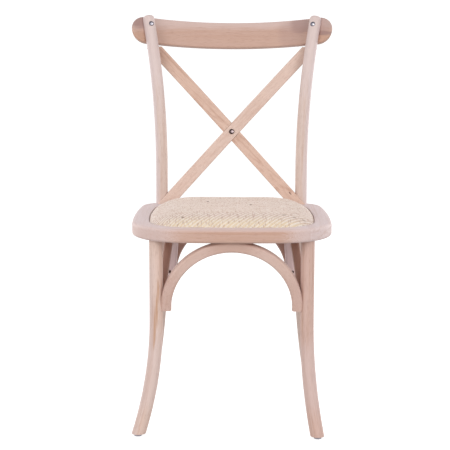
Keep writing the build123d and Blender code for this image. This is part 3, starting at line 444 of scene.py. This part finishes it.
def new_group(name, inputs, outputs):
    """Empty shader node group with named sockets.

    It comes with its tree and with its inputs and outputs as they stand inside it.
    """
    group = bpy.data.node_groups.new(name, "ShaderNodeTree")
    for label, kind in inputs.items():
        group.interface.new_socket(name=label, in_out="INPUT", socket_type=kind)
    for label, kind in outputs.items():
        group.interface.new_socket(name=label, in_out="OUTPUT", socket_type=kind)
    entry = group.nodes.new("NodeGroupInput")
    leave = group.nodes.new("NodeGroupOutput")
    return group, Tree(group), entry.outputs, leave.inputs


def once(name, build):
    """Node group of that name, built the first time that it is asked for."""
    return bpy.data.node_groups.get(name) or build(name)


def build_straight_grain(name):
    """Place on a straight board, turned so that Z runs along the grain."""
    axes = dict.fromkeys(("Across", "Face", "Along"), "NodeSocketVector")
    group, tree, given, out = new_group(name, axes, {"Grain": "NodeSocketVector"})
    place = tree.place()
    tree.feed(out["Grain"], tree.join(*(tree.dot(place, given[label]) for label in axes)))
    return group


def build_arched_grain(name):
    """Place on a bent brace: X away from the bend's centre, Y across and Z round the bend."""
    inputs = dict.fromkeys(("Centre", "Out", "Rise", "Side"), "NodeSocketVector")
    inputs["Radius"] = "NodeSocketFloat"
    group, tree, given, out = new_group(name, inputs, {"Grain": "NodeSocketVector"})
    place = tree.vector("SUBTRACT", tree.place(), given["Centre"])
    aside = tree.dot(place, given["Out"])
    above = tree.dot(place, given["Rise"])
    squares = [tree.math("POWER", side, 2.0) for side in (aside, above)]
    reach = tree.math("SQRT", tree.math("ADD", *squares))
    round_bend = tree.math("MULTIPLY", tree.math("ARCTAN2", aside, above), given["Radius"])
    tree.feed(out["Grain"], tree.join(reach, tree.dot(place, given["Side"]), round_bend))
    return group


def build_pole_grain(name):
    """Place on a pole with its bends taken out: X along the flare, Y across it and Z upwards."""
    inputs = dict.fromkeys(("Socket", "Out", "Side"), "NodeSocketVector")
    inputs |= dict.fromkeys(("Hip", "Knee", "Top bend", "Foot bend"), "NodeSocketFloat")
    group, tree, given, out = new_group(name, inputs, {"Grain": "NodeSocketVector"})
    place = tree.place()
    from_socket = tree.vector("SUBTRACT", place, given["Socket"])
    height = tree.dot(place, UP)
    above = tree.math("MAXIMUM", tree.math("SUBTRACT", height, given["Hip"]), 0.0)
    below = tree.math("MAXIMUM", tree.math("SUBTRACT", given["Knee"], height), 0.0)
    top = tree.math("MULTIPLY", tree.math("POWER", above, 2.0), given["Top bend"])
    foot = tree.math("MULTIPLY", tree.math("POWER", below, 2.0), given["Foot bend"])
    flared = tree.dot(from_socket, given["Out"])
    straight = tree.math("SUBTRACT", flared, tree.math("ADD", top, foot))
    tree.feed(out["Grain"], tree.join(straight, tree.dot(from_socket, given["Side"]), height))
    return group


def build_wood_figure(name):
    """Marks of wood whose grain runs along Z: growth streaks, fibres, pores and slow patches."""
    inputs = {"Grain": "NodeSocketVector", "Seed": "NodeSocketFloat"}
    marks = dict.fromkeys(("Streak", "Fibre", "Pore", "Patch"), "NodeSocketFloat")
    group, tree, given, out = new_group(name, inputs, marks)
    seed = given["Seed"]
    grain = tree.vector("ADD", given["Grain"], tree.join(seed, seed, seed))
    wander = tree.noise(grain, WANDER_WAVES, detail=1.0)
    swing = tree.math("MULTIPLY", tree.math("SUBTRACT", wander, NOISE_MIDDLE), WANDER)
    bent = tree.vector("ADD", grain, tree.join(swing, swing, 0.0))
    rings = tree.noise(bent, RING_WAVES, detail=3.0, roughness=0.55)
    dashes = tree.noise(bent, PORE_WAVES, detail=0.0)
    patches = tree.noise(grain, PATCH_WAVES, detail=2.0)
    tree.feed(out["Streak"], tree.ramp(rings, *RING_EDGES))
    tree.feed(out["Fibre"], tree.noise(bent, FIBRE_WAVES, detail=2.0))
    tree.feed(out["Pore"], tree.ramp(dashes, *PORE_EDGES))
    tree.feed(out["Patch"], tree.ramp(patches, *PATCH_EDGES))
    return group


def build_stain(name):
    """Share of a stain: full at its middle, gone at its reach and broken by the fibres."""
    inputs = {
        "Grain": "NodeSocketVector",
        "Fibre": "NodeSocketFloat",
        "Middle": "NodeSocketVector",
        "Reach": "NodeSocketVector",
    }
    group, tree, given, out = new_group(name, inputs, {"Share": "NodeSocketFloat"})
    offset = tree.vector("SUBTRACT", given["Grain"], given["Middle"])
    away = tree.length(tree.vector("DIVIDE", offset, given["Reach"]))
    ragged = tree.math("ADD", away, tree.math("SUBTRACT", given["Fibre"], NOISE_MIDDLE))
    tree.feed(out["Share"], tree.ramp(ragged, *STAIN_EDGES, start=1.0, end=0.0))
    return group


def straight_grain(along, face):
    """Grain along a direction, on a board whose broad side faces another."""
    along = Vector(along).normalized()
    face = Vector(face).normalized()
    values = {"Across": along.cross(face).normalized(), "Face": face, "Along": along}
    return once("Straight grain", build_straight_grain), values


def in_grain(grain, place):
    """Place on a straight board in its grain's axes."""
    return Vector([axis.dot(place) for axis in grain[1].values()])


def arched_grain(centre, out, rise, radius):
    """Grain round a bend."""
    side = out.cross(rise)
    values = {"Centre": centre, "Out": out, "Rise": rise, "Side": side, "Radius": radius}
    return once("Arched grain", build_arched_grain), values


def pole_grain(socket, out, hip, knee, top_bend, foot_bend):
    """Grain along a pole that bends outwards above its hip and below its knee."""
    out = Vector(out).normalized()
    values = {
        "Socket": socket,
        "Out": out,
        "Side": UP.cross(out),
        "Hip": hip,
        "Knee": knee,
        "Top bend": top_bend,
        "Foot bend": foot_bend,
    }
    return once("Bent pole grain", build_pole_grain), values


def nth_figure(kind, index):
    """Figure of one of several like pieces, whose grain starts elsewhere."""
    seed, streaks = FIGURES[kind]
    return seed + index, streaks


def new_material(name):
    """Material with its tree and its shader."""
    material = bpy.data.materials.new(name)
    material.use_nodes = True
    return material, Tree(material.node_tree), material.node_tree.nodes["Principled BSDF"]


def lay_stain(tree, colour, place, fibre, stain):
    """Colour under one stain, which has a colour, strength, middle and reach."""
    tint, strength, middle, reach = stain
    values = {"Grain": place, "Fibre": fibre, "Middle": middle, "Reach": reach}
    share = tree.group(once("Stain", build_stain), values).outputs["Share"]
    return tree.mix(tree.math("MULTIPLY", share, strength), colour, rgba(tint))


def wood_material(name, grain, figure, base, patch=None, top_sheen=0.0, stains=()):
    """Raw sanded wood, patched with a second colour, given a painted sky sheen where it faces up,
    and stained.
    """
    wood = bpy.context.scene.chair_wood
    seed, streaks = figure
    material, tree, shader = new_material(name)
    along = tree.group(*grain).outputs["Grain"]
    marks = once("Wood figure", build_wood_figure)
    marks = tree.group(marks, {"Grain": along, "Seed": seed}).outputs
    colour = tree.mix(marks["Patch"], rgba(base), rgba(base if patch is None else patch))
    streak_share = tree.math("MULTIPLY", marks["Streak"], streaks)
    colour = tree.mix(streak_share, colour, rgba(wood.streak))
    fibre_share = tree.ramp(marks["Fibre"], *FIBRE_EDGES, end=FIBRE_SHARE)
    colour = tree.mix(fibre_share, colour, rgba(wood.streak))
    pore_share = tree.math("MULTIPLY", marks["Pore"], PORE_SHARE)
    colour = tree.mix(pore_share, colour, rgba(wood.pore))
    # Painted sky sheen: faces that look up are mixed towards rose.
    if top_sheen:
        upright = tree.dot(tree.add("ShaderNodeNewGeometry").outputs["Normal"], UP)
        painted_top_sheen = tree.ramp(upright, *TOP_SHEEN_EDGES, end=top_sheen)
        colour = tree.mix(painted_top_sheen, colour, rgba(wood.rose))
    for stain in stains:
        colour = lay_stain(tree, colour, along, marks["Fibre"], stain)
    dull = wood.roughness + WOOD_DULLING
    gloss = tree.ramp(marks["Fibre"], *WOOD_DULL_EDGES, start=wood.roughness, end=dull)
    raised = tree.math("MULTIPLY", marks["Fibre"], FIBRE_RELIEF)
    relief = tree.math("SUBTRACT", raised, marks["Pore"])
    values = {"Height": relief, "Distance": wood.pore_depth, "Strength": GRAIN_BUMP}
    tree.feed(shader.inputs["Base Color"], colour)
    tree.feed(shader.inputs["Roughness"], gloss)
    tree.feed(shader.inputs["Normal"], tree.add("ShaderNodeBump", values).outputs["Normal"])
    shader.inputs["Specular IOR Level"].default_value = WOOD_SPECULAR
    shader.inputs["Sheen Weight"].default_value = SHEEN_WEIGHT
    shader.inputs["Sheen Roughness"].default_value = SHEEN_ROUGHNESS
    shader.inputs["Sheen Tint"].default_value = rgba(wood.haze)
    return material


def dress(node, material):
    """Give a node its material."""
    thing = NODES[node]
    thing.data.materials.clear()
    thing.data.materials.append(material)


class CHAIR_OT_rear_legs(bpy.types.Operator):
    """Raw wood on the rear legs with their back posts"""

    bl_idname = "chair.rear_legs"
    bl_label = "Rear legs"

    def execute(self, context):
        wood = context.scene.chair_wood
        turn = math.radians(POST_TURN)
        along, across = math.cos(turn), math.sin(turn)
        reach = (OUTER_REACH, OUTER_REACH, ANYWHERE)
        for index, (name, side) in enumerate(SIDES.items()):
            low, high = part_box(f"{name}_rear_rail_dowel")
            socket = (side * POST_X, (low.y + high.y) / 2, 0)
            out = (side * along, across, 0)
            grain = pole_grain(socket, out, POST_HIP, POST_KNEE, POST_TOP_BEND, POST_FOOT_BEND)
            outer = (along * POST_RADIUS, -side * across * POST_RADIUS, POST_HIP)
            # The rose band down each post's outer side is painted side light.
            stains = [(wood.rose, *POST_PALING), (wood.rose, OUTER_SIDE_SHEEN, outer, reach)]
            figure = nth_figure("post", index)
            material = wood_material(f"{name}_post_wood", grain, figure, wood.sand, stains=stains)
            dress(f"{name}_rear_leg", material)
        return {"FINISHED"}


class CHAIR_OT_front_legs(bpy.types.Operator):
    """Raw wood on the front legs, with an amber streak on the left one"""

    bl_idname = "chair.front_legs"
    bl_label = "Front legs"

    def execute(self, context):
        wood = context.scene.chair_wood
        looks = {
            "left": (wood.pale, wood.rose, AMBER_STREAKS),
            "right": (wood.fawn, wood.fawn, ()),
        }
        for index, (name, side) in enumerate(SIDES.items()):
            node = f"{name}_front_leg"
            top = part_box(node)[1]
            socket = (side * LEG_X, top.y - LEG_RADIUS, 0)
            turn = math.radians(LEG_TURN[name])
            out = (side * math.cos(turn), math.sin(turn), 0)
            grain = pole_grain(socket, out, top.z, LEG_KNEE, 0.0, LEG_FOOT_BEND)
            base, patch, streaks = looks[name]
            stains = [(wood.rose, *FOOT_PALING), *((wood.amber, *streak) for streak in streaks)]
            figure = nth_figure("leg", index)
            material = wood_material(f"{name}_leg_wood", grain, figure, base, patch, stains=stains)
            dress(node, material)
        return {"FINISHED"}


class CHAIR_OT_arches(bpy.types.Operator):
    """Raw wood round the bends of the braces"""

    bl_idname = "chair.arches"
    bl_label = "Arches"

    def execute(self, context):
        wood = context.scene.chair_wood
        along = {"front": RIGHT, "rear": RIGHT, "left": BACK, "right": BACK}
        for index, (name, out) in enumerate(along.items()):
            low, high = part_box(f"{name}_arch")
            span = (high - low).dot(out)
            centre = (low + high) / 2
            centre.z = high.z - span / 2
            grain = arched_grain(centre, out, UP, span / 2)
            # Painted shade on the rear and side braces under the seat, and painted light on the
            # side braces' rear branches
            shade = wood.fawn if name == "front" else wood.shaded_umber
            stains = []
            if name in SIDES:
                rear_branch = ((0, 0, span), (ANYWHERE, ANYWHERE, span))
                stains = [(wood.lit_lilac, REAR_BRANCH_LIT, *rear_branch)]
            elif name == "front":
                stains = [(wood.tan, *ARCH_CROWN)]
                stains += [(wood.pale, *branch) for branch in ARCH_BRANCHES]
            figure = nth_figure("arch", index)
            material = wood_material(f"{name}_arch_wood", grain, figure, shade, stains=stains)
            dress(f"{name}_arch", material)
        return {"FINISHED"}


class CHAIR_OT_back(bpy.types.Operator):
    """Raw wood on the crest rail and the crossed slats"""

    bl_idname = "chair.back"
    bl_label = "Crest and slats"

    def execute(self, context):
        wood = context.scene.chair_wood
        self.dress_crest(wood)
        self.dress_slats(wood)
        return {"FINISHED"}

    def dress_crest(self, wood):
        """Grain round the crest's bend, with darker and amber patches at its ends and a painted sky
        sheen along its top.
        """
        low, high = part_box("crest_rail")
        centre = Vector((0, high.y - CREST_RADIUS, (low.z + high.z) / 2))
        grain = arched_grain(centre, RIGHT, BACK, CREST_RADIUS)
        stains = [(wood.rose, *CREST_TOP_SHEEN)]
        stains += [(wood.amber, *stain) for stain in CREST_END_AMBER]
        stains += [(wood.crest_end_dark, *stain) for stain in CREST_END_DARKENING]
        material = wood_material("crest_wood", grain, FIGURES["crest"], wood.tan, stains=stains)
        dress("crest_rail", material)

    def dress_slats(self, wood):
        """Grain along each slat, with the pins' marks on the back one."""
        low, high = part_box("cross_slat_front")
        lean = Vector((high.x - low.x, 0, high.z - low.z))
        rising = straight_grain(lean, -BACK)
        falling = straight_grain((-lean.x, 0, lean.z), -BACK)
        pins = [
            (wood.pin, strength, in_grain(falling, place), PIN_REACH)
            for strength, place in SLAT_PINS
        ]
        front = wood_material("front_slat_wood", rising, FIGURES["front_slat"], wood.pale)
        back = wood_material(
            "back_slat_wood", falling, FIGURES["back_slat"], wood.honey, stains=pins
        )
        dress("cross_slat_front", front)
        dress("cross_slat_back", back)


class CHAIR_OT_seat_frame(bpy.types.Operator):
    """Raw wood along each rail of the seat frame"""

    bl_idname = "chair.seat_frame"
    bl_label = "Seat frame"

    def execute(self, context):
        wood = context.scene.chair_wood
        crosswise = straight_grain(RIGHT, UP)
        lengthwise = straight_grain(BACK, UP)
        low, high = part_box("seat_front_rail")
        places = {"left": (0, 0, low.x), "right": (0, 0, high.x)}
        reach = (ANYWHERE, ANYWHERE, RAIL_END_REACH)
        ends = [(wood.rose, RAIL_END_PALING[name], places[name], reach) for name in SIDES]
        # The tops of the front and side rails get the painted sky sheen.
        figure = FIGURES["front_rail"]
        front = wood_material(
            "front_rail_wood", crosswise, figure, wood.tan, top_sheen=RAIL_TOP_SHEEN["front"], stains=ends
        )
        figure = FIGURES["rear_rail"]
        rear = wood_material("rear_rail_wood", crosswise, figure, wood.pale, wood.tan)
        dress("seat_front_rail", front)
        dress("seat_rear_rail", rear)
        # Painted shade at the left rail's lower front
        painted_shades = {"left": [(wood.fawn, *LEFT_RAIL_SHADE)], "right": []}
        for index, name in enumerate(SIDES):
            material = wood_material(
                f"{name}_rail_wood",
                lengthwise,
                nth_figure("side_rail", index),
                wood.rose,
                top_sheen=RAIL_TOP_SHEEN[name],
                stains=painted_shades[name],
            )
            dress(f"seat_{name}_rail", material)
        return {"FINISHED"}


class CHAIR_OT_joinery(bpy.types.Operator):
    """Plain wood on the board, splines and dowels inside the seat"""

    bl_idname = "chair.joinery"
    bl_label = "Hidden joinery"

    def execute(self, context):
        wood = context.scene.chair_wood
        crosswise = straight_grain(RIGHT, UP)
        ply = wood_material("board_ply", crosswise, FIGURES["board"], wood.tan, wood.streak)
        beech = wood_material("dowel_beech", crosswise, FIGURES["dowel"], wood.tan, wood.pale)
        dress("seat_board", ply)
        for name in SIDES:
            for piece in ("spline", "side_rail_dowel", "rear_rail_dowel"):
                dress(f"{name}_{piece}", beech)
        return {"FINISHED"}


class RattanSurface:
    """The seat's domed skin, which the strands are laid on."""

    def __init__(self):
        skin = bmesh.new()
        skin.from_mesh(NODES["rattan_seat"].data)
        self.tree = BVHTree.FromBMesh(skin)
        skin.free()
        self.low, self.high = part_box("rattan_seat")
        self.middle = (self.low + self.high) / 2
        self.skirt_middle = self.low.z + SKIRT_HEIGHT / 2

    def top(self, x, y):
        """Point and normal of the dome above a place, or None outside it."""
        point, normal, _, _ = self.tree.ray_cast(Vector((x, y, self.high.z + RAY_LIFT)), -UP)
        return (point, normal) if point and point.z > self.skirt_middle else None

    def wall(self, origin, direction):
        """Where a level ray from outside meets the skirt."""
        point, _, _, _ = self.tree.ray_cast(origin, direction)
        return point

    def tucked(self, end, rim):
        """The two points, upwards, at which a strand runs down the skirt."""
        heights = (self.low.z + SKIRT_LIFT, rim.z - SKIRT_DROP)
        return [Vector((end.x, end.y, height)) for height in heights]


def strand_line(surface, start, step, crossings):
    """Points and normals of one strand from rim to rim, and the crossing at each.

    On the skirt the strand crosses no other, so there the crossing is None.
    """
    level = Vector((start.x, start.y, surface.skirt_middle))
    near_end = surface.wall(level - step * RAY_REACH, step)
    far_end = surface.wall(level + step * RAY_REACH, -step)
    if not near_end or not far_end:
        return None
    inset = bpy.context.scene.chair_rattan.thickness
    first = near_end.dot(step) + inset
    last = far_end.dot(step) - inset
    points, normals, marks = [], [], []
    for mark, crossing in enumerate(crossings):
        if not first < crossing < last:
            continue
        place = start + step * (crossing - start.dot(step))
        found = surface.top(place.x, place.y)
        if found:
            points.append(found[0])
            normals.append(found[1])
            marks.append(mark)
    if len(points) < FEWEST_CROSSINGS:
        return None
    near = surface.tucked(near_end, points[0])
    far = surface.tucked(far_end, points[-1])
    points = [*near, *points, *reversed(far)]
    normals = [-step, -step, *normals, step, step]
    marks = [None, None, *marks, None, None]
    return points, normals, marks


def over_twill(column, row):
    """Whether the lengthwise strand passes over the crosswise one in the stepped weave."""
    return (column - row) % TWILL_REPEAT < TWILL_OVER


def add_strand(mesh_data, points, normals, overs, shade):
    """One flat oval strand along its points, lifted where it passes over the others.

    Each corner keeps the strand's shade, its slope towards the front and whether it passes under
    the others, where it is given a painted shade.
    """
    rattan = bpy.context.scene.chair_rattan
    vertices, faces, looks = mesh_data
    base = len(vertices)
    last = len(points) - 1
    depth = rattan.thickness / 2 + rattan.sway
    for index, (point, normal, over) in enumerate(zip(points, normals, overs)):
        tangent = points[min(index + 1, last)] - points[max(index - 1, 0)]
        across = tangent.cross(normal).normalized()
        lift = rattan.sway if over else -rattan.sway
        middle = point + normal * (lift - depth)
        for corner in range(STRAND_SIDES):
            angle = 2 * math.pi * corner / STRAND_SIDES
            aside = across * (math.cos(angle) * rattan.width / 2)
            above = normal * (math.sin(angle) * rattan.thickness / 2)
            vertices.append(middle + aside + above)
            looks.append((shade, -normal.y, 0 if over else 1))
    for ring in range(last):
        here = base + ring * STRAND_SIDES
        beyond = here + STRAND_SIDES
        for corner in range(STRAND_SIDES):
            following = (corner + 1) % STRAND_SIDES
            faces.append((here + corner, here + following, beyond + following, beyond + corner))
    end = base + last * STRAND_SIDES
    faces.append(tuple(base + corner for corner in reversed(range(STRAND_SIDES))))
    faces.append(tuple(end + corner for corner in range(STRAND_SIDES)))


def strand_places(middle, gaps, pitch):
    """Places of strands a pitch apart, about a middle."""
    return [middle + (index - gaps / 2) * pitch for index in range(gaps + 1)]


def woven_mesh(surface, settings):
    """Mesh of all the strands, with a shade for each."""
    draw = random.Random(settings.seed)
    gaps = (surface.high - surface.low) / settings.pitch
    columns = strand_places(surface.middle.x, int(gaps.x), settings.pitch)
    rows = strand_places(surface.middle.y, int(gaps.y), settings.pitch)
    mesh_data = ([], [], [])
    for column, x in enumerate(columns):
        line = strand_line(surface, Vector((x, 0, 0)), BACK, rows)
        shade = 1 - STRAND_SPREAD * draw.random()
        if line:
            points, normals, marks = line
            overs = [mark is None or over_twill(column, mark) for mark in marks]
            add_strand(mesh_data, points, normals, overs, shade)
    for row, y in enumerate(rows):
        line = strand_line(surface, Vector((0, y, 0)), RIGHT, columns)
        shade = STRAND_SPREAD * draw.random()
        if line:
            points, normals, marks = line
            overs = [mark is None or not over_twill(mark, row) for mark in marks]
            add_strand(mesh_data, points, normals, overs, shade)
    vertices, faces, looks = mesh_data
    mesh = bpy.data.meshes.new("woven_rattan")
    mesh.from_pydata(vertices, [], faces)
    weave = mesh.attributes.new("weave", "FLOAT_VECTOR", "POINT")
    weave.data.foreach_set("vector", np.array(looks, np.float32).ravel())
    mesh.polygons.foreach_set("use_smooth", np.ones(len(mesh.polygons), bool))
    mesh.update()
    return mesh


def rattan_material(settings):
    """Peeled rattan: strands of differing cream, with dark flecks of skin."""
    material, tree, shader = new_material("rattan_strands")
    weave = tree.add("ShaderNodeAttribute", attribute_name="weave").outputs["Vector"]
    strand, slope, dip = tree.add("ShaderNodeSeparateXYZ", {0: weave}).outputs
    place = tree.place()
    blotch = tree.noise(place, BLOTCH_WAVES, detail=2.0)
    # Painted front light on slopes that face the front, yellower where strands bend at the rim
    at_rim = tree.ramp(slope, *RIM_SLOPES)
    straw = tree.mix(at_rim, rgba(settings.straw), rgba(settings.lit_yellow))
    cream = tree.mix(at_rim, rgba(settings.cream), rgba(settings.glow))
    blotched = tree.math("ADD", strand, tree.math("SUBTRACT", blotch, NOISE_MIDDLE))
    # Painted light and shade: crosswise strands lean to the lighter cream, lengthwise strands to
    # the darker straw
    colour = tree.mix(tree.ramp(blotched, *SHADE_EDGES), cream, straw)
    skin = tree.noise(place, SKIN_WAVES, detail=1.0)
    skin = tree.ramp(skin, *SKIN_EDGES, end=SKIN_SHARE)
    # Painted shade where the strand passes under the others, mixed towards the skin colour
    skin_or_dip_shade = tree.math("MAXIMUM", skin, tree.math("MULTIPLY", dip, DIP_SHADE_SHARE))
    colour = tree.mix(skin_or_dip_shade, colour, rgba(settings.skin))
    for fleck in RATTAN_FLECKS:
        colour = lay_stain(tree, colour, place, skin, (settings.fleck, *fleck))
    dull = settings.roughness + RATTAN_DULLING
    gloss = tree.ramp(blotch, *RATTAN_DULL_EDGES, start=settings.roughness, end=dull)
    fibre = tree.noise(place, STRAND_FIBRE_WAVES, detail=1.0)
    values = {"Height": fibre, "Distance": STRAND_FIBRE_DEPTH, "Strength": STRAND_BUMP}
    tree.feed(shader.inputs["Base Color"], colour)
    tree.feed(shader.inputs["Roughness"], gloss)
    tree.feed(shader.inputs["Normal"], tree.add("ShaderNodeBump", values).outputs["Normal"])
    return material


class CHAIR_OT_rattan_seat(bpy.types.Operator):
    """Woven strands over the seat's dome"""

    bl_idname = "chair.rattan_seat"
    bl_label = "Rattan seat"

    def execute(self, context):
        settings = context.scene.chair_rattan
        mesh = woven_mesh(RattanSurface(), settings)
        mesh.materials.append(rattan_material(settings))
        seat = bpy.data.objects.new("woven_rattan", mesh)
        context.scene.collection.objects.link(seat)
        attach(seat, "root")
        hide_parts("rattan_seat")
        return {"FINISHED"}


def metal_material(name, colour, roughness, metallic=1.0, head=None):
    """Plated metal or nylon with fine wear in its gloss.

    A domed head has the place of its painted highlight, that highlight's reach and the colour of
    its painted dark rim.
    """
    material, tree, shader = new_material(name)
    place = tree.place()
    wear = tree.noise(place, WEAR_WAVES, detail=3.0)
    dull = tuple(WORN_SHADE * value for value in colour)
    shade = tree.mix(tree.ramp(wear, *WEAR_EDGES), rgba(colour), rgba(dull))
    # Painted highlight: the head is light at its spot and fades out to a painted dark reflection at
    # its rim.
    if head:
        spot, reach, rim = head
        away = tree.length(tree.vector("SUBTRACT", place, spot))
        shade = tree.mix(tree.ramp(away, GLINT_CORE * reach, reach), shade, rgba(rim))
    wear_and_glint = roughness + METAL_DULLING
    gloss = tree.ramp(wear, *METAL_DULL_EDGES, start=roughness, end=wear_and_glint)
    tree.feed(shader.inputs["Base Color"], shade)
    tree.feed(shader.inputs["Roughness"], gloss)
    shader.inputs["Metallic"].default_value = metallic
    return material


class CHAIR_OT_fasteners(bpy.types.Operator):
    """Plated screws, bolt and nut"""

    bl_idname = "chair.fasteners"
    bl_label = "Fasteners"

    def execute(self, context):
        metal = context.scene.chair_metal
        # The sunk screws and the nut take a painted shade.
        shaded_steel = metal_material("steel_fastener", metal.shaded_steel, STEEL_ROUGHNESS)
        for node in NODES:
            if node.endswith("crest_screw"):
                self.dress_head(node, metal.bright, metal.rim, metal.glint_reach)
            elif node == "crossing_bolt":
                self.dress_head(node, metal.wear_and_glint, metal.bronze, metal.glint_reach)
            elif node.endswith("screw") or node == "crossing_nut":
                dress(node, shaded_steel)
        return {"FINISHED"}

    def dress_head(self, node, glinting, edge, reach):
        """Plating on a domed head, with a painted highlight at a spot and a painted dark rim."""
        low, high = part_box(node)
        spot = Vector(((low.x + high.x) / 2, low.y, high.z)) + GLINT_SHIFT
        head = (spot, reach, edge)
        dress(node, metal_material(f"{node}_plating", glinting, HEAD_ROUGHNESS, head=head))


class CHAIR_OT_glides(bpy.types.Operator):
    """Grey nylon glides"""

    bl_idname = "chair.glides"
    bl_label = "Glides"

    def execute(self, context):
        colour = context.scene.chair_metal.nylon
        nylon = metal_material("glide_nylon", colour, NYLON_ROUGHNESS, metallic=0.0)
        for node in NODES:
            if node.endswith("glide"):
                dress(node, nylon)
        return {"FINISHED"}


def seen_rays(tree):
    """One for rays that show the ground or sky, and zero for rays that only light."""
    rays = tree.add("ShaderNodeLightPath").outputs
    seen = tree.math("MAXIMUM", rays["Is Camera Ray"], rays["Is Glossy Ray"])
    return tree.math("MAXIMUM", seen, rays["Is Transmission Ray"])


def white_stage_material():
    """White ground that shows white to the camera and keeps a soft shadow."""
    material, tree, shader = new_material("stage_white")
    tree.nodes.remove(shader)
    white = rgba((STAGE_WHITE, STAGE_WHITE, STAGE_WHITE))
    glow = tree.math("MULTIPLY", seen_rays(tree), STAGE_GLOW)
    ground = tree.add("ShaderNodeBsdfDiffuse", {"Color": white}).outputs[0]
    light = tree.add("ShaderNodeEmission", {"Strength": glow}).outputs[0]
    both = tree.add("ShaderNodeAddShader", {0: ground, 1: light}).outputs[0]
    tree.feed(tree.nodes["Material Output"].inputs["Surface"], both)
    return material


def stage_mesh():
    """Floor that curves up into a backdrop."""
    profile = [(STAGE_FRONT, 0.0)]
    for step in range(STAGE_STEPS + 1):
        angle = math.pi / 2 * step / STAGE_STEPS
        y = STAGE_BACK + STAGE_BEND * math.sin(angle)
        z = STAGE_BEND - STAGE_BEND * math.cos(angle)
        profile.append((y, z))
    profile.append((STAGE_BACK + STAGE_BEND, STAGE_TOP))
    vertices = [(x, y, z) for y, z in profile for x in (-STAGE_HALF_WIDTH, STAGE_HALF_WIDTH)]
    faces = [(2 * i, 2 * i + 1, 2 * i + 3, 2 * i + 2) for i in range(len(profile) - 1)]
    mesh = bpy.data.meshes.new("stage")
    mesh.from_pydata(vertices, [], faces)
    mesh.polygons.foreach_set("use_smooth", np.ones(len(mesh.polygons), bool))
    return mesh


def area_lamp(name, place, target, size, power):
    """Square soft lamp that looks at a target."""
    data = bpy.data.lights.new(name, "AREA")
    data.size = size
    data.energy = power
    lamp = bpy.data.objects.new(name, data)
    lamp.location = place
    look = Vector(target) - Vector(place)
    lamp.rotation_euler = look.to_track_quat("-Z", "Y").to_euler()
    bpy.context.scene.collection.objects.link(lamp)


class CHAIR_OT_studio(bpy.types.Operator):
    """White ground, soft light and the camera"""

    bl_idname = "chair.studio"
    bl_label = "Studio"

    def execute(self, context):
        scene = context.scene
        studio = scene.chair_studio
        ground = bpy.data.objects.new("stage", stage_mesh())
        ground.data.materials.append(white_stage_material())
        scene.collection.objects.link(ground)
        for name, (place, target, size, power) in LAMPS.items():
            area_lamp(name, place, target, size, getattr(studio, power))
        self.light_sky(scene, studio)
        self.place_camera(scene, studio)
        scene.view_settings.view_transform = "Standard"
        return {"FINISHED"}

    def light_sky(self, scene, studio):
        """Even white light that is plain white where it is seen."""
        world = bpy.data.worlds.new("studio_sky")
        world.use_nodes = True
        scene.world = world
        tree = Tree(world.node_tree)
        background = tree.nodes["Background"]
        background.inputs["Color"].default_value = (1, 1, 1, 1)
        strength = tree.ramp(seen_rays(tree), 0.0, 1.0, start=studio.sky, end=1.0)
        tree.feed(background.inputs["Strength"], strength)

    def place_camera(self, scene, studio):
        """Camera in front of the seat, looking a little down."""
        data = bpy.data.cameras.new("camera")
        data.sensor_width = SENSOR_WIDTH
        data.lens = studio.lens
        camera = bpy.data.objects.new("camera", data)
        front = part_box("seat_front_rail")[0].y
        camera.location = (studio.aside, front - studio.distance, studio.height)
        tilt = Matrix.Rotation(math.pi / 2 - studio.tilt, 3, "X")
        roll = Matrix.Rotation(studio.roll, 3, "Z")
        camera.rotation_euler = (tilt @ roll).to_euler()
        scene.collection.objects.link(camera)
        scene.camera = camera


class CHAIR_PT_looks(bpy.types.Panel):
    """Pieces of the chair that can be dressed, and their settings"""

    bl_idname = "CHAIR_PT_looks"
    bl_label = "Chair"
    bl_space_type = "VIEW_3D"
    bl_region_type = "UI"
    bl_category = "Chair"

    def draw(self, context):
        for operator in OPERATORS:
            self.layout.operator(operator.bl_idname)
        for name, group in PROPERTIES.items():
            box = self.layout.box()
            box.label(text=group.__doc__)
            for setting in group.__annotations__:
                box.prop(getattr(context.scene, name), setting)


PROPERTIES = {
    "chair_wood": ChairWood,
    "chair_rattan": ChairRattan,
    "chair_metal": ChairMetal,
    "chair_studio": ChairStudio,
}
OPERATORS = (
    CHAIR_OT_rear_legs,
    CHAIR_OT_front_legs,
    CHAIR_OT_arches,
    CHAIR_OT_back,
    CHAIR_OT_seat_frame,
    CHAIR_OT_joinery,
    CHAIR_OT_rattan_seat,
    CHAIR_OT_fasteners,
    CHAIR_OT_glides,
    CHAIR_OT_studio,
)


def register():
    """Add the properties, operators and panel."""
    for name, group in PROPERTIES.items():
        bpy.utils.register_class(group)
        setattr(bpy.types.Scene, name, PointerProperty(type=group))
    for thing in (*OPERATORS, CHAIR_PT_looks):
        bpy.utils.register_class(thing)


def unregister():
    """Take them away again."""
    for thing in (CHAIR_PT_looks, *reversed(OPERATORS)):
        bpy.utils.unregister_class(thing)
    for name, group in PROPERTIES.items():
        delattr(bpy.types.Scene, name)
        bpy.utils.unregister_class(group)


def main():
    """Dress the chair and set up its studio."""
    register()
    bpy.ops.chair.rear_legs()
    bpy.ops.chair.front_legs()
    bpy.ops.chair.arches()
    bpy.ops.chair.back()
    bpy.ops.chair.seat_frame()
    bpy.ops.chair.joinery()
    bpy.ops.chair.rattan_seat()
    bpy.ops.chair.fasteners()
    bpy.ops.chair.glides()
    bpy.ops.chair.studio()


if __name__ == "__main__":
    main()
